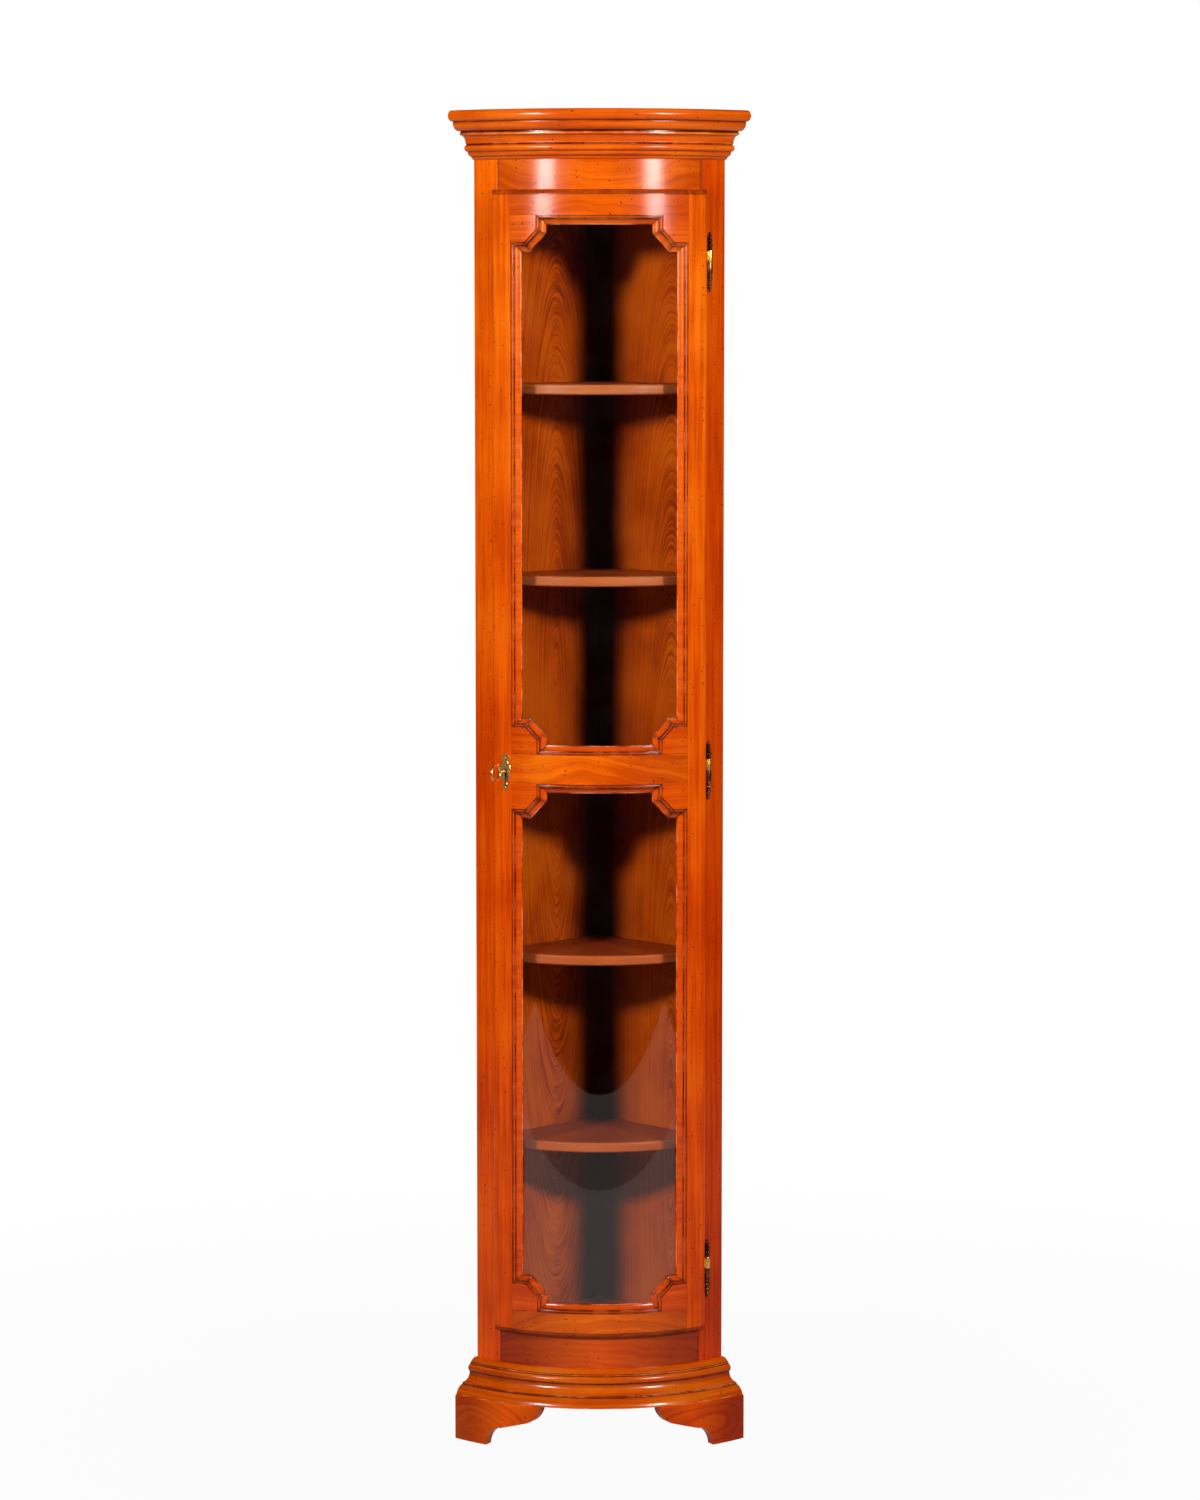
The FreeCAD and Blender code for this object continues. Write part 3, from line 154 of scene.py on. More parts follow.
def section_marks(points, shelter_reach=7.0, edge_reach=3.0):
    """For each point of a closed outline, how sheltered it is in a hollow and how exposed on an edge."""
    line = np.array([tuple(point) for point in points])
    after = np.roll(line, -1, axis=0)
    run = after - line
    area = np.sum(line[:, 0] * after[:, 1] - after[:, 0] * line[:, 1])
    side = 1 if area > 0 else -1
    lengths = np.linalg.norm(run, axis=1)[:, None]
    normals = np.stack([run[:, 1], -run[:, 0]], axis=1) * side / np.maximum(lengths, 1e-9)
    normals = normals + np.roll(normals, 1, axis=0)
    normals /= np.maximum(np.linalg.norm(normals, axis=1)[:, None], 1e-9)
    found = []
    for way, reach in ((1, shelter_reach), (-1, edge_reach)):
        marks = np.zeros(len(line))
        angles = np.radians(np.arange(-75, 76, 15))
        for angle in angles:
            turn = np.array([[math.cos(angle), -math.sin(angle)], [math.sin(angle), math.cos(angle)]])
            rays = (normals * way) @ turn.T
            starts = line + rays * 0.02
            cross = rays[:, None, 0] * run[None, :, 1] - rays[:, None, 1] * run[None, :, 0]
            gap = line[None, :, :] - starts[:, None, :]
            safe = np.where(np.abs(cross) < 1e-9, 1e-9, cross)
            far = (gap[:, :, 0] * run[None, :, 1] - gap[:, :, 1] * run[None, :, 0]) / safe
            along = (gap[:, :, 0] * rays[:, None, 1] - gap[:, :, 1] * rays[:, None, 0]) / safe
            hit = (far > 1e-4) & (along >= 0) & (along <= 1) & (np.abs(cross) > 1e-9)
            nearest = np.where(hit, far, 1e9).min(axis=1)
            marks += np.clip(1 - nearest / reach, 0, 1)
        found.append(np.clip(marks / len(angles) * 2, 0, 1))
    return found


def carried(rings, closed_path=False, caps=True):
    """Points and faces of a closed section, given as one ring of points for each place it passes."""
    count = len(rings[0])
    points = [point for ring in rings for point in ring]
    faces = []
    pairs = len(rings) if closed_path else len(rings) - 1
    for index in range(pairs):
        here, there = index * count, (index + 1) % len(rings) * count
        for step in range(count):
            after = (step + 1) % count
            faces.append((here + step, here + after, there + after, there + step))
    if caps and not closed_path:
        faces.append(tuple(range(count)))
        faces.append(tuple(range(len(points) - count, len(points))))
    return points, faces


def turned(profile, segments=40):
    """Points and faces of a solid turned about Z.

    Its profile of radius and height begins and ends on the axis."""
    points, faces = [], []
    for radius, height in profile:
        if radius < 1e-6:
            points.append([Vector((0, 0, height))])
        else:
            points.append([Vector((radius * math.cos(turn), radius * math.sin(turn), height))
                           for turn in np.arange(segments) * math.tau / segments])
    starts = np.concatenate([[0], np.cumsum([len(ring) for ring in points])])
    for index in range(len(points) - 1):
        low, high = starts[index], starts[index + 1]
        for step in range(segments):
            after = (step + 1) % segments
            corners = [low + step % len(points[index]), low + after % len(points[index]),
                       high + after % len(points[index + 1]), high + step % len(points[index + 1])]
            faces.append(tuple(int(corner) for corner in dict.fromkeys(corners)))
    return [point for ring in points for point in ring], faces


def moved(shape, matrix):
    """The same shape at another place."""
    points, faces = shape
    return [matrix @ point for point in points], faces


def joined(shapes):
    """Several shapes as one."""
    points, faces = [], []
    for some_points, some_faces in shapes:
        start = len(points)
        points += some_points
        faces += [tuple(start + corner for corner in face) for face in some_faces]
    return points, faces


def block(low, high, edge=0.3):
    """A plate or bar between two corners, with chamfered arrises."""
    mesh = bmesh.new()
    bmesh.ops.create_cube(mesh, size=1)
    size = Vector(high) - Vector(low)
    middle = (Vector(high) + Vector(low)) / 2
    for vertex in mesh.verts:
        vertex.co = Vector(vertex.co[axis] * size[axis] for axis in range(3)) + middle
    bmesh.ops.bevel(mesh, geom=mesh.edges[:], offset=edge, segments=2, affect="EDGES")
    mesh.verts.index_update()
    shape = ([vertex.co.copy() for vertex in mesh.verts],
             [tuple(vertex.index for vertex in face.verts) for face in mesh.faces])
    mesh.free()
    return shape


def linked(name, data):
    """A new object in the scene."""
    made = bpy.data.objects.new(name, data)
    bpy.context.scene.collection.objects.link(made)
    return made


def piece(name, shape, body, finish, stands_for=(), sharp=40, marks=None):
    """A mesh object made from points in millimetres, riding on a body.

    Sharp is the angle from which an edge stays sharp. Marks say for each point how sheltered and how
    exposed it is, from 0 to 1."""
    points, faces = shape
    mesh = bpy.data.meshes.new(name)
    mesh.from_pydata([point * MM for point in points], [], faces)
    if marks is not None:
        for label, values in zip(("sheltered", "exposed"), marks):
            spread = np.resize(values, len(points)).astype(np.float32)
            mesh.attributes.new(label, "FLOAT", "POINT").data.foreach_set("value", spread)
    work = bmesh.new()
    work.from_mesh(mesh)
    bmesh.ops.recalc_face_normals(work, faces=work.faces)
    work.to_mesh(mesh)
    work.free()
    mesh.shade_smooth()
    mesh.set_sharp_from_angle(angle=math.radians(sharp))
    mesh.materials.append(FINISHES[finish])
    made = linked(name, mesh)
    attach(made, body)
    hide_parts(*stands_for)
    return made


# ---------------- material helpers


def srgb(red, green, blue):
    """A colour given as it looks on a screen, from 0 to 255."""
    values = [value / 255 for value in (red, green, blue)]
    linear = [value / 12.92 if value <= 0.04045 else ((value + 0.055) / 1.055) ** 2.4 for value in values]
    return (*linear, 1)


class Nodes:
    """A node tree whose nodes are added one call at a time."""

    def __init__(self, tree):
        self.tree = tree

    def add(self, kind, out=0, settings=None, **inputs):
        """Adds a node, sets its properties and inputs, and returns one of its outputs, or all for None."""
        made = self.tree.nodes.new("ShaderNode" + kind)
        for label, value in (settings or {}).items():
            setattr(made, label, value)
        self.fill(made, inputs)
        return made.outputs if out is None else made.outputs[out]

    def fill(self, node, inputs):
        """Feeds a node's inputs, given by name with _ for a space, or as i and their number."""
        for label, value in inputs.items():
            key = int(label[1:]) if label[0] == "i" and label[1:].isdigit() else label.replace("_", " ")
            self.feed(node.inputs[key], value)

    def feed(self, socket, value):
        """Links a socket to a value made by a node, or sets it to a plain value."""
        if isinstance(value, bpy.types.NodeSocket):
            self.tree.links.new(value, socket)
        else:
            socket.default_value = value

    def maths(self, operation, first, second=0.0, clamp=False):
        return self.add("Math", settings={"operation": operation, "use_clamp": clamp}, i0=first, i1=second)

    def times(self, first, second):
        return self.maths("MULTIPLY", first, second)

    def plus(self, first, second):
        return self.maths("ADD", first, second)

    def minus(self, first, second):
        return self.maths("SUBTRACT", first, second)

    def magnitude(self, value):
        return self.maths("ABSOLUTE", value)

    def mix(self, share, first, second, blend="MIX"):
        settings = {"data_type": "RGBA", "blend_type": blend}
        return self.add("Mix", 2, settings, i0=share, i6=first, i7=second)

    def noise(self, place, scale=1.0, detail=3.0, rough=0.5, stretch=(1, 1, 1)):
        """Cloudy values round 0.5, drawn out against each axis by its stretch."""
        spread = self.add("Mapping", Vector=place, Scale=stretch)
        return self.add("TexNoise", Vector=spread, Scale=scale, Detail=detail, Roughness=rough)

    def band(self, value, low, high, first=0.0, last=1.0):
        """The value's share between low and high, carried over to first…last."""
        return self.add("MapRange", i0=value, i1=low, i2=high, i3=first, i4=last)

    def mark(self, name):
        """A value stored on the mesh, or 0 where the mesh has none."""
        return self.add("Attribute", out=2, settings={"attribute_name": name})

    def position(self):
        """Metres in the object's own frame, so that the finish moves with its piece."""
        return self.add("TexCoord", out=3)

    def lean(self):
        """0 on upright faces and 1 on faces that lie flat."""
        return self.magnitude(self.parts(self.add("TexCoord", out=1))[2])

    def rays(self):
        return self.add("LightPath", None)

    def reflected(self, rays):
        """1 for reflected rays and 0 for others. Bent rays count as glossy too, so they come off."""
        return self.maths("SUBTRACT", rays["Is Glossy Ray"], rays["Is Transmission Ray"], True)

    def bow_place(self):
        """Metres along the bow, outwards from its centre line, and up."""
        x, y, z = self.parts(self.position())
        depth = self.minus(BOW_Y * MM, y)
        along = self.times(self.maths("ARCTAN2", x, depth), DOOR_FACE * MM)
        return self.add("CombineXYZ", i0=along, i1=self.length(x, depth), i2=z)

    def wall_place(self):
        """Metres along the room's two walls from their corner, and up."""
        x, y, z = self.parts(self.position())
        return self.add("CombineXYZ", i0=self.times(x, math.sqrt(2)), i1=self.plus(x, y), i2=z)

    def ringed_place(self, place, centre, squeeze, waver=0.05):
        """The place with its first part counted outwards from a centre, for arched or oval figure."""
        along, depth, up = self.parts(place)
        sway = self.times(self.noise(place, 9.0, 2.0), waver)
        side = self.times(self.minus(along, centre[0] * MM), squeeze)
        rise = self.minus(up, centre[1] * MM)
        out = self.plus(self.length(side, rise), sway)
        return self.add("CombineXYZ", i0=out, i1=depth, i2=self.times(along, 0.3))

    def parts(self, vector):
        """A vector's three parts."""
        return self.add("SeparateXYZ", None, i0=vector)

    def length(self, first, second):
        """Length of the line with these two parts."""
        return self.maths("SQRT", self.plus(self.times(first, first), self.times(second, second)))


class Finish(Nodes):
    """A material and its nodes."""

    def __init__(self, name):
        self.material = bpy.data.materials.new(name)
        self.material.use_nodes = True
        super().__init__(self.material.node_tree)
        self.shader = self.tree.nodes["Principled BSDF"]

    def look(self, **inputs):
        """Feeds the inputs of the material's own shader."""
        self.fill(self.shader, inputs)

    def show(self, shader):
        """Takes another shader as the material's surface."""
        self.feed(self.tree.nodes["Material Output"].inputs["Surface"], shader)


CHERRY = {"deep": srgb(208, 74, 3), "mid": srgb(234, 96, 5), "light": srgb(246, 116, 14)}
VENEER = {"deep": srgb(166, 54, 4), "mid": srgb(222, 86, 6), "light": srgb(238, 106, 14)}
SHELF_FRONT = {"deep": srgb(196, 98, 48), "mid": srgb(222, 122, 66), "light": srgb(236, 142, 88)}
RAW = {"deep": srgb(150, 84, 36), "mid": srgb(176, 104, 50), "light": srgb(196, 124, 66)}
# dark glaze for joints and hollows; in hollows and quirks it is also painted shade
GLAZE_AND_SHADE = srgb(88, 30, 15)
SPECK = srgb(46, 16, 10)
LOW_DARKENING = (0.92, 0.62, 0.45, 1)       # multiplies the colour in the lower half, which gets darker towards the bottom
# painted shade for the corner of the walls, where the lamps' light doesn't reach
CORNER_SHADE = srgb(44, 13, 5)
END_DARKENING = (0.52, 0.4, 0.6, 1)         # multiplies the colour at the dark ends of a rail or foot
INSIDE_SHADE = srgb(30, 18, 12)
BACK_WOOD = srgb(158, 98, 52)           # the outer side of the back panels, left without polish
# pale wear on edges, also a painted highlight on the arrises
WEAR_AND_SHEEN = srgb(250, 160, 106)

# Scales of the noises, per metre. Those of grain and pores are across the grain, in depth and along it.
CLOUDS = 7.0
PATCHES = 34.0
GRAIN = (150.0, 20.0, 5.0)
PORES = (900.0, 180.0, 45.0)
SPECKS = 62.0
DARKENING_HEIGHTS = (1.75, 0.85)   # metres up, where the darkening starts and where it is full
CORNER_REACH = (0.034, 0.112)  # metres from the corner, where its painted shade is full and where it ends
LINE_REACH = (0.0005, 0.0012)  # metres from a line's middle, where it is full and where it ends
INSIDE_SHARE = 0.55            # how far the inside's colour goes to its shade for scattered light
DUST = 0.003                   # the most that dust covers of the glass


def specks(finish, place):
    """Small dark marks strewn over an upright face in loose groups, from 0 to 1."""
    parts = finish.parts(place)
    flat = finish.add("CombineXYZ", i0=parts[0], i1=parts[2])
    shift = finish.add("TexNoise", out=1, Vector=flat, Scale=240.0, Detail=2.0)
    flat = finish.add("VectorMath", settings={"operation": "MULTIPLY_ADD"},
                      i0=shift, i1=(0.0016, 0.0016, 0.0016), i2=flat)
    dots = finish.add("TexVoronoi", None, {"voronoi_dimensions": "2D"}, Vector=flat, Scale=SPECKS)
    chance = finish.parts(dots["Color"])[0]
    groups = finish.noise(place, CLOUDS, 2.0)
    chosen = finish.band(finish.plus(chance, groups), 1.06, 1.1)
    size = finish.band(chance, 0.5, 1.0, 0.03, 0.1)
    drawn = finish.band(finish.maths("DIVIDE", dots["Distance"], size), 1.0, 0.6)
    return finish.times(finish.times(drawn, chosen), finish.band(finish.lean(), 0.8, 0.6))


def deeper(share):
    """A tint that darkens the stain: more in green and blue than in red."""
    return share, share ** 1.6, share ** 1.6


def dark_ends(finish, colour, where, clouds, palest, reach, strength):
    """The colour, darker and redder with the distance along the bow from its palest place."""
    aside = finish.minus(finish.parts(where)[0], palest * MM)
    wander = finish.times(finish.minus(clouds, 0.5), 0.06)
    aside = finish.plus(finish.magnitude(aside), wander)
    return finish.mix(finish.band(aside, 0.0, reach * MM, 0.0, strength), colour, END_DARKENING, "MULTIPLY")


def corner_shade_and_bare_back(finish, colour, where, clouds, tone, deep):
    """The colour with painted shade near the corner of the walls, and bare wood on the outer side."""
    aside = finish.magnitude(finish.parts(where)[0])
    # painted shade, full near the corner of the walls and fading out from it
    corner_shade_share = finish.band(finish.plus(aside, finish.times(clouds, 0.02)), *CORNER_REACH, 1.0, 0.0)
    colour = finish.mix(finish.times(finish.maths("POWER", corner_shade_share, 1.5), 0.9), colour, CORNER_SHADE)
    x, y = finish.parts(finish.position())[:2]
    outside = finish.maths("GREATER_THAN", finish.plus(finish.magnitude(x), y), (CORNER_Y - BACK_SKIN) * MM)
    bare = finish.mix(finish.band(tone, 0.4, 0.6, 0.0, 0.5), BACK_WOOD, deep)
    return finish.mix(outside, colour, bare)


def dark_line(finish, colour, where, reach, bottom, top):
    """The colour with a fine dark upright line at a reach along the bow: joints, and painted shade by the
    door.
    """
    parts = finish.parts(where)
    aside = finish.magnitude(finish.minus(finish.magnitude(parts[0]), reach * MM))
    level = finish.times(finish.maths("GREATER_THAN", parts[2], bottom * MM),
                         finish.maths("LESS_THAN", parts[2], top * MM))
    return finish.mix(finish.times(finish.band(aside, *LINE_REACH, 0.85, 0.0), level), colour, GLAZE_AND_SHADE)


def wood(name, tones, along, place="bow_place", rings=None, rough=0.18, contrast=1.0, speckled=True,
         tint=(1, 1, 1), corner=False, lines=(), stained=True, gloss=0.26, falls=None, inside=False,
         flats=None):
    """Polished wood: clouds of tone, grain, pores, specks, glaze with painted shade in hollows, and wear
    with painted highlights on edges.

    Rings are the centre, squeeze and waver of an arched figure. The tint multiplies the whole stain.
    The flag for the lower half makes it darker towards the bottom, and corner paints shade near the corner
    of the walls. Lines are fine dark lines, given as places along the bow with their bottom and top. Falls
    is where along the bow the colour is palest, how far from there it is darkest, and how dark it gets. Wood
    inside the cabinet is darker for scattered rays only, painted shade that keeps its shadows deep. Flats is
    a tint for the faces that lie flat."""
    finish = Finish(name)
    where = getattr(finish, place)()
    grain_place = finish.ringed_place(where, *rings) if rings else where
    way = 1 if along == "z" or rings else -1
    clouds = finish.noise(where, CLOUDS, 4.0, 0.55)
    grain = finish.noise(grain_place, 1.0, 5.0, 0.62, GRAIN[::way])
    pores = finish.noise(grain_place, 1.0, 3.0, 0.7, PORES[::way])
    tone = finish.plus(finish.times(clouds, 0.45), finish.times(grain, 0.55))
    spread = 0.16 / contrast
    colour = finish.mix(finish.band(tone, 0.5 - spread, 0.5), tones["deep"], tones["mid"])
    colour = finish.mix(finish.band(tone, 0.5, 0.5 + spread), colour, tones["light"])
    colour = finish.mix(finish.band(pores, 0.52, 0.75, 0.0, 0.35), colour, tones["deep"])
    if stained:
        low = finish.band(finish.parts(where)[2], *DARKENING_HEIGHTS, 0.0, 1.0)
        colour = finish.mix(low, colour, LOW_DARKENING, "MULTIPLY")
    if tint != (1, 1, 1):
        colour = finish.mix(1.0, colour, (*tint, 1), "MULTIPLY")
    if flats:
        colour = finish.mix(finish.band(finish.lean(), 0.6, 0.9), colour, (*flats, 1), "MULTIPLY")
    if falls:
        colour = dark_ends(finish, colour, where, clouds, *falls)
    if corner:
        colour = corner_shade_and_bare_back(finish, colour, where, clouds, tone, tones["deep"])
    for line in lines:
        colour = dark_line(finish, colour, where, *line)
    if speckled:
        colour = finish.mix(finish.times(specks(finish, where), 0.85), colour, SPECK)
    patches = finish.noise(where, PATCHES, 5.0, 0.65)
    # glaze with painted shade in hollows, from the sheltered mark
    glaze_and_shade = finish.times(finish.mark("sheltered"), finish.band(patches, 0.25, 0.65, 1.2, 0.75))
    colour = finish.mix(finish.band(glaze_and_shade, 0.22, 0.95, 0.0, 0.95), colour, GLAZE_AND_SHADE)
    # wear with a painted highlight on exposed edges
    wear_and_sheen = finish.times(finish.mark("exposed"), finish.band(patches, 0.4, 0.6, 0.15, 1.0))
    colour = finish.mix(finish.band(wear_and_sheen, 0.2, 0.75, 0.0, 0.75), colour, WEAR_AND_SHEEN)
    # painted shade: scattered rays see a darker colour, so that the shadows inside stay deep
    if inside:
        scattered = finish.rays()["Is Diffuse Ray"]
        colour = finish.mix(finish.times(scattered, INSIDE_SHARE), colour, INSIDE_SHADE)
    uneven = finish.plus(patches, finish.times(pores, 0.3))
    polish = finish.band(uneven, 0.4, 0.9, rough * 0.88, rough * 1.16)
    height = finish.plus(finish.times(pores, 0.00001), finish.times(clouds, 0.0002))
    bump = finish.add("Bump", Strength=0.6, Distance=1.0, Height=height)
    finish.look(Base_Color=colour, Roughness=polish, Normal=bump, Specular_IOR_Level=gloss)
    return finish.material


def metal(name, bright, dark, rough, patina, metallic=1.0):
    """Brass or steel with darker patina in cloudy patches, darker where marked, and fine scratches."""
    finish = Finish(name)
    place = finish.position()
    cloud = finish.noise(place, 260.0, 5.0, 0.65)
    fine = finish.noise(place, 1600.0, 3.0, 0.6)
    share = finish.band(cloud, 0.5 - patina * 0.2, 0.75 - patina * 0.2)
    share = finish.maths("MAXIMUM", share, finish.mark("sheltered"))
    bump = finish.add("Bump", Strength=0.3, Distance=1.0, Height=finish.times(fine, 0.00004))
    polish = finish.band(cloud, 0.3, 0.7, rough, rough * 1.9)
    finish.look(Base_Color=finish.mix(share, bright, dark), Roughness=polish, Normal=bump, Metallic=metallic)
    return finish.material


def glass():
    """Clear pane with faint dust. Shadow, scattered and reflected rays pass it without being bent."""
    finish = Finish("cabinet_glass")
    dust = finish.noise(finish.position(), 18.0, 6.0, 0.7)
    finish.look(Base_Color=srgb(246, 250, 247), Transmission_Weight=1.0, IOR=1.52, Specular_IOR_Level=0.5,
                Roughness=0.0)
    powder = finish.add("BsdfDiffuse", Color=(0.7, 0.7, 0.7, 1))
    share = finish.band(dust, 0.4, 0.9, 0.0, DUST)
    dusty = finish.add("MixShader", i0=share, i1=finish.shader.outputs[0], i2=powder)
    clear = finish.add("BsdfTransparent", Color=(0.94, 0.95, 0.94, 1))
    rays = finish.rays()
    passing = finish.maths("MAXIMUM", rays["Is Diffuse Ray"], finish.reflected(rays))
    passing = finish.maths("MAXIMUM", rays["Is Shadow Ray"], passing)
    finish.show(finish.add("MixShader", i0=passing, i1=dusty, i2=clear))
    return finish.material


def cherry(name, along="x", **looks):
    """The cabinet's outer wood, with grain along the bow (x) or upright (z)."""
    return wood("cherry_" + name, CHERRY, along, **looks)


def veneer(name, rings):
    """A back panel: veneer on its inside with painted shade near the corner, and bare wood on its outer
    side.
    """
    return wood(name, VENEER, "z", "wall_place", rings, 0.45, 1.7, False,
                corner=True, stained=False, gloss=0.05, inside=True)


FINISHES = {
    "upright": cherry("upright", "z", tint=deeper(1.07), contrast=1.6, gloss=0.14),
    "upright_deep": cherry("upright_deep", "z", tint=(0.92, 0.7, 0.7), contrast=1.6, gloss=0.14,
                           lines=FRAME_LINES),
    "upright_pale": cherry("upright_pale", "z", tint=(1.16, 1.16, 0.9), contrast=1.6, gloss=0.14,
                           lines=FRAME_LINES),
    "bowed": cherry("bowed", contrast=1.5, tint=(0.97, 0.98, 0.9)),
    "moulding": cherry("moulding", speckled=False, gloss=0.24),
    "plinth": cherry("plinth", tint=(0.86, 0.86, 0.9), stained=False, contrast=1.6, falls=(10, 210, 0.35)),
    "top": cherry("top_rail", rings=((-60, 1990), 0.3), contrast=1.5, tint=(0.92, 0.88, 0.8),
                  falls=(0, 150, 0.2)),
    "frieze": cherry("frieze", rings=((-10, 2030), 0.55), contrast=1.8, tint=(0.96, 1.04, 0.9),
                     lines=FRAME_LINES[:1], falls=(0, 170, 0.35)),
    "middle": cherry("middle_rail", rings=((-40, 905), 0.42), contrast=2.0, tint=(1.16, 1.6, 1.0),
                     falls=(-50, 190, 0.5)),
    "base": cherry("base_rail", rings=((-30, 60), 0.4), contrast=1.6, tint=(0.92, 1.0, 0.8),
                   lines=FRAME_LINES[:1], falls=(0, 120, 1.0)),
    "bottom": cherry("bottom_rail", rings=((20, 130), 0.5), contrast=1.8, tint=(1.08, 1.6, 0.9),
                     falls=(0, 140, 0.7)),
    "left_foot": cherry("left_foot", rings=((-165, 20), 0.6), contrast=1.6, tint=(1.2, 1.45, 0.7),
                        gloss=0.12, falls=(-125, 60, 0.95)),
    "right_foot": cherry("right_foot", rings=((150, 34), 0.5), contrast=1.6, tint=(1.08, 1.1, 0.6),
                         gloss=0.12, falls=(125, 60, 0.95)),
    "veneer_left": veneer("back_veneer_left", ((-90, 1080), 9.0, 0.02)),
    "veneer_right": veneer("back_veneer_right", ((150, 420), 12.0, 0.02)),
    "cover": wood("cover_board", CHERRY, "x", "position", rough=0.26, contrast=1.3, speckled=False),
    "board": wood("board_wood", VENEER, "x", "position", rough=0.35, speckled=False, inside=True),
    "shelf": wood("shelf_front", SHELF_FRONT, "x", rough=0.32, speckled=False, inside=True,
                  flats=(0.6, 0.42, 0.3)),
    "raw": wood("raw_wood", RAW, "z", "position", rough=0.55, speckled=False),
    "glass": glass(),
    "old_brass": metal("old_brass", srgb(244, 192, 108), srgb(78, 48, 22), 0.2, 0.1, 0.85),
    "key_brass": metal("key_brass", srgb(252, 208, 134), srgb(120, 78, 38), 0.17, 0.1, 0.95),
    "hinge_brass": metal("hinge_brass", srgb(250, 196, 90), srgb(70, 42, 30), 0.2, -0.4, 0.93),
    "dark_brass": metal("dark_brass", srgb(150, 98, 64), srgb(62, 38, 30), 0.2, 0.6, 0.93),
    "steel": metal("steel", srgb(170, 170, 168), srgb(96, 92, 88), 0.3, 0.3),
}

NODE_FINISH = {
    "frame_stile_left": "upright_pale", "frame_stile_right": "upright_deep", "frieze_rail": "frieze",
    "base_rail": "base", "cornice_top_board": "cover", "foot_front_left": "left_foot",
    "foot_front_right": "right_foot", "back_panel_left": "veneer_left", "back_panel_right": "veneer_right",
    "top_board": "board", "bottom_board": "board", "foot_blocks": "raw", "foot_rear": "raw",
    "strike_plate": "old_brass", "hinge_pins": "steel", "lock_case": "steel", "lock_cap": "steel",
    "lock_bolt": "steel",
}
for light in LIGHTS:
    NODE_FINISH[f"{light}_corner_blocks"] = "bowed"
    NODE_FINISH[f"{light}_glass"] = "glass"
    NODE_FINISH[f"{light}_glass_stops"] = "board"
NODE_FINISH.update({name: "shelf" for name in nodes if name.startswith("shelf_")})


def dress_nodes():
    """Gives the CAD nodes that stay their finish, smooth bowed faces and slightly rounded arrises."""
    for name, finish in NODE_FINISH.items():
        node = nodes[name]
        node.data.materials.clear()
        node.data.materials.append(FINISHES[finish])
        node.data.shade_smooth()
        if finish in ("glass", "steel"):
            continue
        weld = node.modifiers.new("weld", "WELD")
        weld.merge_threshold = 1e-6
        bevel = node.modifiers.new("arrises", "BEVEL")
        bevel.width = 0.5 * MM
        bevel.segments = 2
        bevel.limit_method = "ANGLE"
        bevel.angle_limit = math.radians(32)
        even = node.modifiers.new("even_faces", "WEIGHTED_NORMAL")
        even.weight = 90
        even.keep_sharp = False


# ---------------- cornice and plinth

# Sections as distance past the frame's face and height, anticlockwise; heights of the cornice are
# measured down from the top. A third value is the radius of the arc that leads to the point.
CORNICE = [
    (0, -70), (5.6, -65.3, 5.4), (6.4, -65.3), (12, -60.6, 5.4), (12.9, -58.2), (14.5, -58.2),
    (19.1, -53.6, 4.6), (14.5, -49, 4.6), (15.3, -49), (15.3, -47.4), (16.9, -47.4), (16.9, -46.2),
    (26.7, -35.2, -11), (28.3, -35.2), (28.3, -32), (26.7, -32), (26.7, -29.6), (29.9, -29.6),
    (41.9, -17.6, 12), (41.9, -16), (43.5, -16), (51.5, -8, 8), (43.5, 0, 8), (0, 0),
]
PLINTH = [
    (0, 66), (43, 66), (32.5, 79, 18), (31.3, 79), (31.3, 80.6), (30.1, 80.6), (30.1, 82.2),
    (16.2, 94.8, -13.5), (16.2, 96.4), (15.4, 106.9, 6), (14.6, 106.9), (14.6, 109.3), (13, 109.3),
    (13, 110.1), (0.8, 115.7, 12), (0, 115.7),
]
BOW_STEPS = 72


def moulding_round_the_bow(name, outline, rise, finish, stands_for, hollow_shade_and_glaze):
    """A moulding that follows the bow from wall to wall, its hollows given more or less glaze and painted
    shade.
    """
    section = closer(eased(rounded(outline, 0.8)))
    rings = []
    for step in range(BOW_STEPS + 1):
        share = step / BOW_STEPS * 2 - 1
        rings.append([on_bow(FRONT + out, wall_angle(FRONT + out) * share, height + rise)
                      for out, height in section])
    sheltered, exposed = section_marks(section, 10)
    piece(name, carried(rings), "carcase", finish, [stands_for],
          marks=(np.clip(sheltered * hollow_shade_and_glaze, 0, 1), exposed))


# ---------------- door frame

LIP_REACH = math.radians(37.68) * DOOR_FACE       # edge of the door, along the bow
CORE_ANGLE = math.radians(35.38)                  # edge of the part of the door inside the opening
LIP_BACK = 249.3
DOOR_BACK = 240
DOOR_HEIGHTS = (163, 1837)
CORE_HEIGHTS = (171.8, 1828.2)
EDGE_QUIRK = 1.0
EDGE_ROUND = 7.5
RAILS = {"top": (1800, 1837), "middle": (980.5, 1023), "bottom": (163, 199.5)}
SEAM = 0.35
DOOR_CORNER = 14            # radius of the door's rounded corners, on its outer edge
EDGE_ZONE = 15.5            # from a board's end to where its places are evenly spread
STEP = 0.05                 # run of a square step between two places of a board
LOCK_SEAT = 249             # radius of the mortise's bottom
LOCK_HEIGHTS = (974, 1018)
LOCK_INNER = KEY_ANGLE * DOOR_FACE + 8.25 * DOOR_FACE / DOOR_BACK      # the mortise's inner side


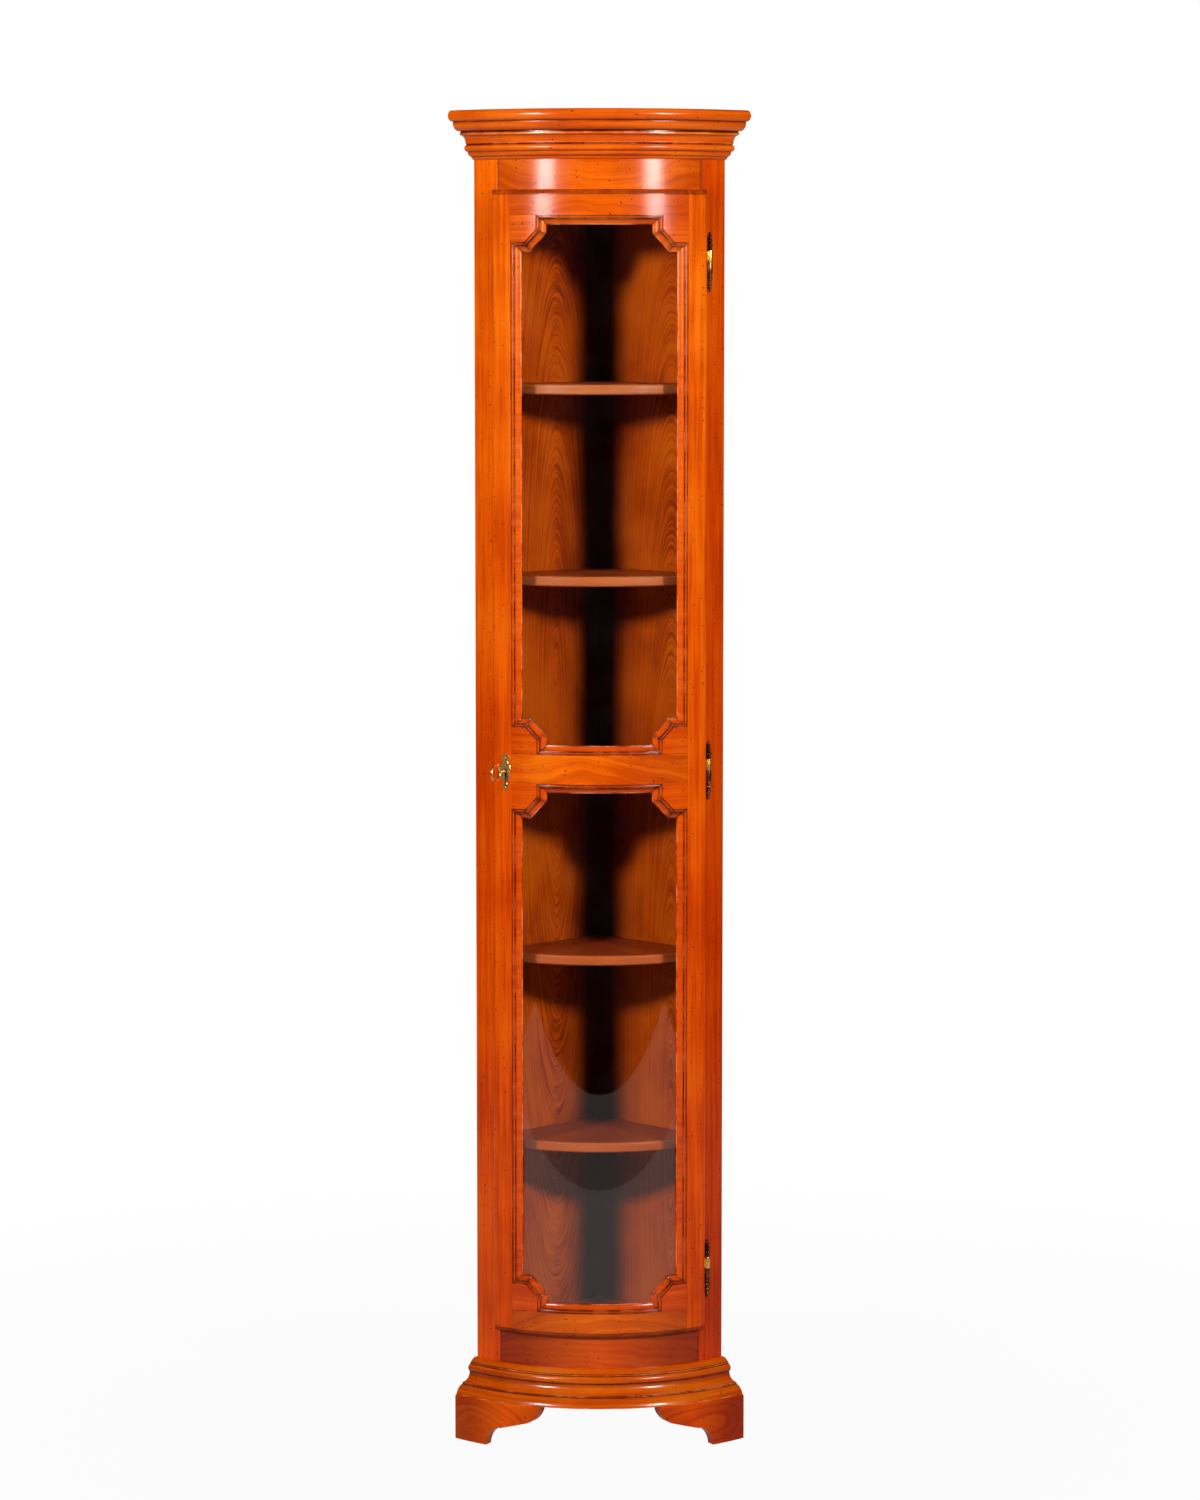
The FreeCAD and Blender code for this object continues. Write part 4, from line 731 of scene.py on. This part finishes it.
def edge_drop(distance):
    """How far the door's face lies back at a distance from its edge: an ovolo and a quirk."""
    if distance >= EDGE_ROUND + 0.5:
        return 0.0
    if distance >= EDGE_ROUND:
        return EDGE_QUIRK * 0.5
    return EDGE_QUIRK + EDGE_ROUND - math.sqrt(EDGE_ROUND ** 2 - (EDGE_ROUND - distance) ** 2)


def stations(low, high, low_edge, high_edge, step):
    """Places between two ends, close together along a moulded edge and beside a seam."""
    edge = [0, 0.15, 0.5, 1, 1.8, 3, 4.5, 6, 7.2, 7.5, 8, 9, 10, 11.5, 13, 15]
    seam = [0, SEAM, SEAM * 2.5]
    made = {low + gap for gap in (edge if low_edge else seam)}
    made |= {high - gap for gap in (edge if high_edge else seam)}
    inner = np.arange(low + step, high - step / 2, step)
    return sorted(made | {place for place in inner if low + EDGE_ZONE < place < high - EDGE_ZONE})


def with_steps(places, steps, ends):
    """The places with those steps that lie between the two ends."""
    return sorted(set(places) | {step for step in steps if ends[0] < step < ends[1]})


def slab(reaches, heights, front, back):
    """A bowed board as a grid of points along the bow and up, with the radius of its front and back."""
    columns, rows = len(reaches), len(heights)
    points = [on_bow(surface(reach, height), reach / DOOR_FACE, height)
              for surface in (front, back) for height in heights for reach in reaches]
    behind = columns * rows
    faces = []
    for row in range(rows - 1):
        for column in range(columns - 1):
            corner = row * columns + column
            face = (corner, corner + 1, corner + 1 + columns, corner + columns)
            faces += [face, tuple(behind + index for index in reversed(face))]
    rim = list(range(columns)) + [row * columns + columns - 1 for row in range(1, rows)]
    rim += [behind // columns * columns - 2 - column for column in range(columns - 1)]
    rim += [row * columns for row in range(rows - 2, 0, -1)]
    for here, there in zip(rim, rim[1:] + rim[:1]):
        faces.append((here, there, there + behind, here + behind))
    return points, faces


def edge_gap(reach, height):
    """Distance from the edge of the door, whose corners are rounded."""
    aside = LIP_REACH - abs(reach)
    end = min(height - DOOR_HEIGHTS[0], DOOR_HEIGHTS[1] - height)
    if aside >= DOOR_CORNER or end >= DOOR_CORNER:
        return min(aside, end)
    return DOOR_CORNER - math.hypot(DOOR_CORNER - aside, DOOR_CORNER - end)


def face_marks(reach, height, seams, sills):
    """How sheltered and how exposed the door's face is: painted shade on its edge and quirk, and dark seams.
    """
    gap = edge_gap(reach, height)
    level = min(height - DOOR_HEIGHTS[0], DOOR_HEIGHTS[1] - height) < EDGE_ROUND
    # painted shade: a dark line in the quirk, and the ovolo darker along the top and bottom than the sides
    hollow = 1.0 if abs(gap - EDGE_ROUND) < 0.4 else 0.0
    if gap < EDGE_ROUND:
        hollow = 0.72 if level else 0.26
    nearest = [abs(reach - seam) for seam in seams] + [abs(height - sill) for sill in sills]
    if min(nearest, default=9) < SEAM / 2:
        hollow = max(hollow, 0.7)
    # wear with a painted highlight on the arris of the top and bottom edges
    wear_and_sheen = 0.6 if abs(gap - EDGE_ROUND - 0.5) < 0.2 and level else 0.0
    return hollow, wear_and_sheen


def door_board(name, reaches, heights, finish, stands_for, mortised=False):
    """A stile or rail of the door. Its outer edges are moulded, and its joints show as fine seams."""
    outer = [abs(abs(end) - LIP_REACH) < 0.01 for end in reaches]
    ends = [any(abs(end - limit) < 0.01 for limit in DOOR_HEIGHTS) for end in heights]
    seams = [end for end, moulded in zip(reaches, outer) if not moulded]
    sills = [end for end, moulded in zip(heights, ends) if not moulded]
    core = CORE_ANGLE * DOOR_FACE
    steps = {place * turn for place in (core, core + STEP) for turn in (-1, 1)}
    levels = {height - gap for height in CORE_HEIGHTS for gap in (0, STEP)}
    if mortised:
        steps |= {LOCK_INNER, LOCK_INNER + STEP}
        levels |= {level for height in LOCK_HEIGHTS for level in (height, height + STEP)}
    along = with_steps(stations(*reaches, *outer, 6), steps, reaches)
    up = with_steps(stations(*heights, *ends, 30), levels, heights)

    def front(reach, height):
        groove = max([SEAM - abs(reach - seam) for seam in seams] + [0.0])
        return DOOR_FACE - max(edge_drop(max(0.0, edge_gap(reach, height))), groove)

    def back(reach, height):
        inside = abs(reach) <= core and CORE_HEIGHTS[0] <= height <= CORE_HEIGHTS[1]
        if mortised and inside and reach <= LOCK_INNER and LOCK_HEIGHTS[0] < height <= LOCK_HEIGHTS[1]:
            return LOCK_SEAT
        return DOOR_BACK if inside else LIP_BACK

    marks = [face_marks(reach, height, seams, sills) for height in up for reach in along]
    marks += [(0.0, 0.0)] * len(marks)
    piece(name, slab(along, up, front, back), "door", finish, [stands_for], sharp=32,
          marks=list(zip(*marks)))


def door_frame():
    """Two stiles from top to bottom, and three rails between them."""
    door_board("lock_stile", (-LIP_REACH, -JOINT_REACH), DOOR_HEIGHTS, "upright", "door_stile_lock_side",
               mortised=True)
    door_board("hinge_stile", (JOINT_REACH, LIP_REACH), DOOR_HEIGHTS, "upright", "door_stile_hinge_side")
    for which, heights in RAILS.items():
        door_board(f"{which}_rail", (-JOINT_REACH, JOINT_REACH), heights, which, f"door_{which}_rail")


# ---------------- mouldings of the lights

# Across from the wood inwards, and outwards from the door's face (so the depths are negative).
LIGHT_MOULDING = [
    (0, -10.5), (13.5, -10.5), (13.5, -9.1), (12.1, -9.1), (5.2, -3, -10), (5.2, -2.2), (4.4, -2.2),
    (1.2, -2.2, 1.7), (0, -2.2),
]

# How dark the strips are glazed at places across them, with painted shade in the quirks beside the
# bead and at the inner lip.
MOULDING_GLAZE_AND_SHADE = [
    (0, 1), (0.8, 0.75), (1.3, 0.2), (3.6, 0.2), (4.3, 0.95), (5.2, 0.95), (5.7, 0.3), (6.6, 0.08),
    (11.6, 0.03), (12.4, 0.45), (13.5, 0.55),
]
UNDERSIDE_SHADE = 0.42      # painted shade, added where a strip faces down
SILL_SHADE = 0.34           # painted shade, added where a strip faces up
MITRE_JOINT_AND_SHADE = 0.45          # dark joint and painted shade at the mitres, less up to the mitre reach
MITRE_REACH = 6.0
MITRE_RING = 1.2            # from a mitre to the ring of points next to it
STRIP_STEP = 9              # between the other rings of a strip that follows the bow


def light_outline(bottom, top):
    """Corners of a light, anticlockwise seen from the front, as reach along the bow and height."""
    near = JOINT_REACH - BLOCK_WIDTH
    cut_in = near + BLOCK_CHAMFER
    quarter = [(near, 0), (near, BLOCK_HEIGHT - BLOCK_CHAMFER), (cut_in, BLOCK_HEIGHT),
               (JOINT_REACH, BLOCK_HEIGHT)]
    right = [(reach, bottom + height) for reach, height in quarter]
    right += [(reach, top - height) for reach, height in reversed(quarter)]
    return [Vector(point) for point in right + [(-reach, height) for reach, height in reversed(right)]]


def mitres(corners):
    """For each corner of a closed outline, the way to its inner corner for each millimetre across."""
    made = []
    for previous, corner, following in neighbours(corners):
        before = (corner - previous).normalized()
        after = (following - corner).normalized()
        inwards = [Vector((-way.y, way.x)) for way in (before, after)]
        made.append((inwards[0] + inwards[1]) / (1 + inwards[0].dot(inwards[1])))
    return made


def light_moulding(which):
    """Mitred strips round a light, as one ring of sections."""
    corners = light_outline(*LIGHTS[which])
    section = closer(eased(rounded(LIGHT_MOULDING, 0.5), 0.25), (0.5,), 6)
    sheltered, exposed = section_marks(section, 5, 2)
    glazed_and_shaded = np.interp([across for across, depth in section], *zip(*MOULDING_GLAZE_AND_SHADE))
    inner = mitres(corners)
    rings, glaze_and_shade = [], []
    for index, corner in enumerate(corners):
        after = (index + 1) % len(corners)
        run = corners[after] - corner
        facing = Vector((-run.y, run.x)).normalized().y
        count = max(2, math.ceil(run.length / STRIP_STEP)) if abs(run.x) > 1 else 2
        near = [gap / run.length for gap in (MITRE_RING, MITRE_REACH)]
        shares = {step / count for step in range(count)} | set(near) | {1 - share for share in near}
        for share in sorted(shares):
            place = corner.lerp(corners[after], share)
            inward = inner[index].lerp(inner[after], share)
            ring = []
            for across, depth in section:
                reach, height = place + inward * across
                ring.append(on_bow(DOOR_FACE + depth, reach / DOOR_FACE, height))
            rings.append(ring)
            # painted shade by the way the strip faces, and in the corners at the mitres
            shade = UNDERSIDE_SHADE * max(0.0, -facing) + SILL_SHADE * max(0.0, facing)
            shade += MITRE_JOINT_AND_SHADE * max(0.0, 1 - min(share, 1 - share) * run.length / MITRE_REACH)
            glaze_and_shade.append(np.clip(np.maximum(sheltered, glazed_and_shaded + shade), 0, 1))
    piece(f"{which}_light_moulding", carried(rings, closed_path=True), "door", "moulding",
          [f"{which}_glass_moulding"], marks=(np.concatenate(glaze_and_shade), exposed))


# ---------------- hinges

# Turned rings of the finials: height past the knuckle, radius and length.
FINIAL_RINGS = [
    (0.6, 4.0, 2.0), (3.2, 3.4, 1.6), (5.4, 4.2, 4.2), (10.4, 3.4, 1.6), (12.6, 3.9, 3.4), (16.8, 3.0, 1.5),
    (19.0, 3.0, 3.2),
]
LEAF_REACH = (1.5, 17)      # the leaves' near and far end from the hinge's line
LEAF_HEIGHTS = (1.9, 14.9)  # from the joint between the knuckles
LEAF_HALF = 1               # half the leaves' thickness


def hinge_profile():
    """Knuckle and turned finial from the joint outwards, as radius and height."""
    start = KNUCKLE_HEIGHT
    outline = [(0, 0.15), (KNUCKLE - 0.4, 0.15), (KNUCKLE, 0.55, 0.4), (KNUCKLE, start - 0.5),
               (KNUCKLE - 0.5, start, 0.5), (2.9, start)]
    for rise, radius, length in FINIAL_RINGS:
        outline += [(radius - 0.9, start + rise), (radius - 0.9, start + rise + length, length * 0.62)]
    outline += [(1.5, start + 24), (1.3, start + 25), (1.9, start + 26, 1), (0, start + 26.8, 2)]
    return rounded(outline, 0.5)


def hinge_place(height, down=False):
    """Where a hinge half stands: its own X points outwards from the bow."""
    flip = Matrix.Diagonal((1, 1, -1, 1)) if down else Matrix.Identity(4)
    return facing_out(HINGE_RADIUS, HINGE_ANGLE, height) @ flip


def hinges():
    """Upper halves on the door and lower halves on the frame."""
    upper, lower = [], []
    half = turned(hinge_profile())
    near, far = LEAF_REACH
    low, high = LEAF_HEIGHTS
    door_leaf = block((-LEAF_HALF, -far, low), (LEAF_HALF, -near, high))
    frame_leaf = block((-far, -LEAF_HALF, low), (-near, LEAF_HALF, high))
    for height in HINGE_JOINTS:
        upper += [moved(shape, hinge_place(height)) for shape in (half, door_leaf)]
        lower += [moved(shape, hinge_place(height, True)) for shape in (half, frame_leaf)]
    patina = [1.0 if point.z > KNUCKLE_HEIGHT + 0.1 else 0.0 for point in half[0]]
    patina += [0.0] * len(door_leaf[0])
    piece("hinge_upper_halves", joined(upper), "door", "hinge_brass",
          ["hinge_door_halves"], marks=(patina, [0.0]))
    piece("hinge_lower_halves", joined(lower), "carcase", "dark_brass",
          ["hinge_frame_halves"])


# ---------------- key and escutcheon

# Along the key's line, outwards from the door's face.
SHANK_ENDS = (-19.7, 11)
SHANK = 2                   # radius of the shank
BOW_MIDDLE = 26.3
BOW_RING = 11.3             # radius of the bow's ring, to the middle of its bar
BOW_BAR = 1.7               # radius of that bar
BOW_TURN_STEPS = 48
BOW_BAR_STEPS = 16
KEYHOLE = 3                 # radius of the keyhole's round part
KEYHOLE_HALF = 1.4          # half the width of its slot
KEYHOLE_DROP = -8           # end of the slot
NAIL_HEIGHTS = (20.5, -23)
PLATE_LAYERS = ((0, 0), (1.0, 0), (1.5, 0.4))    # distance from the door, and how far it is drawn in
KEY_PLACE = facing_out(DOOR_FACE, KEY_ANGLE, KEY_HEIGHT)


def lying(shape):
    """A turned shape laid along X."""
    return moved(shape, Matrix.Rotation(math.pi / 2, 4, "Y"))


def key():
    """Shank, collar, round bow and bit."""
    back, front = SHANK_ENDS
    shank = [(0, back), (SHANK - 0.4, back), (SHANK, back + 0.4), (SHANK, front), (0, front)]
    collar = [(0, 11), (2.2, 11), (2.6, 11.6, 0.6), (2.2, 12.2, 0.6), (2.4, 12.4), (3, 13.2, 1),
              (2.4, 14, 1), (2.2, 14.4), (1.5, 15.4), (0, 15.6)]
    shapes = [lying(turned(shank, 24)), lying(turned(rounded(collar, 0.3), 24))]
    rings = []
    for turn in np.arange(BOW_TURN_STEPS) * math.tau / BOW_TURN_STEPS:
        ring = []
        for bar in np.arange(BOW_BAR_STEPS) * math.tau / BOW_BAR_STEPS:
            out = BOW_RING + BOW_BAR * math.cos(bar)
            place = (BOW_MIDDLE + out * math.cos(turn), BOW_BAR * math.sin(bar), out * math.sin(turn))
            ring.append(Vector(place))
        rings.append(ring)
    shapes += [carried(rings, closed_path=True), block((-17.9, -0.9, -6), (-16.1, 0.9, -1), 0.2)]
    piece("key_with_round_bow", moved(joined(shapes), KEY_PLACE), "key", "key_brass", ["key"])


def escutcheon_half():
    """Right half of the brass plate, from the foot up the side to the crown, round the keyhole."""
    neck = math.sqrt(KEYHOLE * KEYHOLE - KEYHOLE_HALF * KEYHOLE_HALF)
    return [(0, KEYHOLE_DROP), (0, -26.5), (4.7, -22.7, 6.6), (7.9, -20.5, 4.4), (3.6, -13.5, -4.4),
            (8.6, 0, 15), (7.7, 10.5, 15), (8.2, 19.5, -4.6), (0, 26.5, 15), (0, KEYHOLE),
            (KEYHOLE, 0, -KEYHOLE), (KEYHOLE_HALF, -neck, -KEYHOLE), (KEYHOLE_HALF, KEYHOLE_DROP)]


def drawn_in(points, distance):
    """A closed anticlockwise outline drawn in by a small distance.

    Points on the middle line stay on it."""
    made = []
    for previous, point, following in neighbours(points):
        before = (point - previous).normalized()
        after = (following - point).normalized()
        inward = Vector((-before.y - after.y, before.x + after.x)).normalized()
        place = point + inward * distance
        made.append(Vector((point.x, place.y)) if point.x < 1e-6 else Vector((max(0.0, place.x), place.y)))
    return made


def escutcheon():
    """The plate with its bevelled outline, two round nails, and a dark plate behind it, painted shade for
    the keyhole.
    """
    half = rounded(escutcheon_half(), 0.7)
    shapes = []
    for side in (1, -1):
        layers = []
        for out, inset in PLATE_LAYERS:
            layers.append([Vector((out, side * across, up)) for across, up in drawn_in(half, inset)])
        shapes.append(carried(layers))
    nail = lying(turned([(0, 1.4), (1.5, 1.5), (0.8, 2.3), (0, 2.4)], 20))
    shapes += [moved(nail, Matrix.Translation((0, 0, height))) for height in NAIL_HEIGHTS]
    # painted shade: a thin plate behind the keyhole, marked to take the dark brass colour
    behind = block((0.05, -4.5, -9), (0.35, 4.5, 4), 0.1)
    dark = [0.0] * len(joined(shapes)[0]) + [1.0] * len(behind[0])
    shapes.append(behind)
    piece("escutcheon_plate", moved(joined(shapes), KEY_PLACE), "door", "old_brass",
          ["escutcheon"], sharp=25, marks=(dark, [0.0]))


def peg():
    """A small peg in the foot of the left stile."""
    disc = turned([(0, -1), (2.6, -1), (2.6, 0.1), (1.8, 0.25), (0, 0.25)], 24)
    rim = [1.0 if 2 < math.hypot(point.x, point.y) else 0.3 for point in disc[0]]
    place = facing_out(FRONT, PEG_ANGLE, PEG_HEIGHT)
    piece("stile_peg", moved(lying(disc), place), "carcase", "moulding", marks=(rim, [0.0]))


# ---------------- studio

# Metres. A lamp's brightness is what it gives a white face that is turned to it at the lamps' distance.
LAMP_DISTANCE = 4.0
# Name, azimuth on both sides, brightness, height, size, and the rays that don't meet the lamp. The front
# boxes are weaker and wider than the lamps above them, and show in the gloss of the frieze.
SOFT_BOXES = [
    ("front_lamp", 37, 0.76, 2.64, (0.5, 0.5), None),
    ("front_box", 37, 0.42, 2.15, (0.78, 0.6), "diffuse"),
    ("rear_box", 138, 0.4, 2.0, (2.0, 2.0), "glossy"),
]
OVERHEAD_LEVEL = 0.18
OVERHEAD_SIZE = (2.5, 2.5)
OVERHEAD_PLACE = (0, 0.2, 6.0)
WORLD_LOW = 0.02            # the world's strength where it isn't seen
AMBIENT = 0.03              # added to it for diffuse rays
FLOOR_REACH = 40
FLOOR_FADE = (0.5, 2.0)     # from the cabinet's middle, where the floor's own shade fades out
FLOOR_WHITE = 0.95          # share of plain white in the floor close to the cabinet
PALE_FLOOR_END = -2.95      # in gloss the floor is pale as far as this, and dark beyond
PALE_FLOOR_SIDE = 3.0
PALE_FLOOR = 0.5            # its brightness there
ROOM_SIDE = 9.0             # from the cabinet to each dark wall
ROOM_TOP = 7.0
CAMERA_PLACE = (0.00075, -6.56225, 1.7123)
CAMERA_DIP = 0.1052         # radians down from level
CAMERA_LENS = 107.6         # millimetres, for a picture 36 mm high
SQUARE = ((-1, -1), (1, -1), (1, 1), (-1, 1))


def unseen_by(thing, *rays):
    """Hides an object from some kinds of rays."""
    for kind in rays:
        setattr(thing, "visible_" + kind, False)


def staged(name, corners, faces, material):
    """A mesh that belongs to the studio."""
    mesh = bpy.data.meshes.new(name)
    mesh.from_pydata(corners, [], faces)
    mesh.materials.append(material)
    made = linked(name, mesh)
    return made


def floor():
    """White ground with the cabinet's soft shadow close to it. In gloss it is pale near the cabinet only."""
    finish = Finish("studio_floor")
    x, y = finish.parts(finish.position())[:2]
    rays = finish.rays()
    seen = finish.maths("MAXIMUM", rays["Is Camera Ray"], rays["Is Transmission Ray"])
    near = finish.band(finish.length(x, y), *FLOOR_FADE, FLOOR_WHITE, 1.0)
    inside = finish.times(finish.maths("GREATER_THAN", y, PALE_FLOOR_END),
                          finish.maths("LESS_THAN", finish.magnitude(x), PALE_FLOOR_SIDE))
    matt = finish.add("BsdfDiffuse", Color=(0.35, 0.35, 0.35, 1))
    white = finish.add("Emission", Color=(1, 1, 1, 1), Strength=1.0)
    pale = finish.add("Emission", Color=(1, 0.88, 0.84, 1), Strength=finish.times(inside, PALE_FLOOR))
    shown = finish.add("MixShader", i0=finish.times(seen, near), i1=matt, i2=white)
    finish.show(finish.add("MixShader", i0=finish.reflected(rays), i1=shown, i2=pale))
    corners = [(x * FLOOR_REACH, y * FLOOR_REACH, 0) for x, y in SQUARE]
    staged("studio_floor", corners, [(0, 1, 2, 3)], finish.material)


def surroundings():
    """World that is white where it is seen, also in gloss and through glass, and gives a low even light."""
    world = bpy.data.worlds.new("studio")
    bpy.context.scene.world = world
    world.use_nodes = True
    sky = Nodes(world.node_tree)
    rays = sky.rays()
    strength = sky.add("Math", 0, {"operation": "MULTIPLY_ADD"},
                       i0=rays["Is Diffuse Ray"], i1=AMBIENT, i2=WORLD_LOW)
    for kind in ("Is Camera Ray", "Is Glossy Ray", "Is Transmission Ray"):
        strength = sky.maths("MAXIMUM", rays[kind], strength)
    sky.fill(sky.tree.nodes["Background"], {"Strength": strength, "Color": (1, 1, 1, 1)})


def dark_flats():
    """Dark walls and ceiling of the photographer's room, which show only in gloss."""
    finish = Finish("dark_flats")
    dark = finish.add("BsdfDiffuse", Color=(0.004, 0.004, 0.004, 1))
    clear = finish.add("BsdfTransparent")
    finish.show(finish.add("MixShader", i0=finish.reflected(finish.rays()), i1=clear, i2=dark))
    corners = [(x * ROOM_SIDE, y * ROOM_SIDE, z) for z in (0.0, ROOM_TOP) for x, y in SQUARE]
    walls = [(step, (step + 1) % 4, (step + 1) % 4 + 4, step + 4) for step in range(4)]
    flats = staged("dark_flats", corners, walls + [(4, 5, 6, 7)], finish.material)
    unseen_by(flats, "camera", "diffuse", "transmission", "shadow")


def lamp(name, azimuth, level, height, size):
    """An upright soft box of that brightness, turned to the cabinet."""
    data = bpy.data.lights.new(name, "AREA")
    data.shape = "RECTANGLE"
    data.size, data.size_y = size
    data.energy = level * math.pi ** 2 * LAMP_DISTANCE ** 2
    made = linked(name, data)
    turn = math.radians(azimuth)
    made.location = (LAMP_DISTANCE * math.sin(turn), -LAMP_DISTANCE * math.cos(turn), height)
    made.rotation_euler = (math.pi / 2, 0, turn)
    return made


def studio():
    """Two soft boxes in front with a weaker one under each, two behind, and a soft light above."""
    floor()
    surroundings()
    dark_flats()
    for side in (-1, 1):
        for name, azimuth, level, height, size, unseen in SOFT_BOXES:
            box = lamp(f"{name}_{side + 2}", side * azimuth, level, height, size)
            if unseen:
                unseen_by(box, unseen)
    above = lamp("overhead", 0, OVERHEAD_LEVEL, 0, OVERHEAD_SIZE)
    above.location = OVERHEAD_PLACE
    above.rotation_euler = (0, 0, 0)
    unseen_by(above, "glossy")


def camera():
    """The photographer's place, straight in front and a little above the middle."""
    data = bpy.data.cameras.new("camera")
    data.sensor_fit = "VERTICAL"
    data.sensor_height = 36
    data.lens = CAMERA_LENS
    data.clip_end = 100
    made = linked("camera", data)
    made.location = CAMERA_PLACE
    made.rotation_euler = (math.pi / 2 - CAMERA_DIP, 0, 0)
    bpy.context.scene.camera = made


dress_nodes()
moulding_round_the_bow("cornice", CORNICE, TOP, "bowed", "cornice_moulding", 1.2)
moulding_round_the_bow("plinth", PLINTH, 0, "plinth", "plinth_moulding", 2.2)
door_frame()
light_moulding("upper")
light_moulding("lower")
hinges()
key()
escutcheon()
peg()
studio()
camera()
bpy.context.scene.view_settings.view_transform = "Standard"
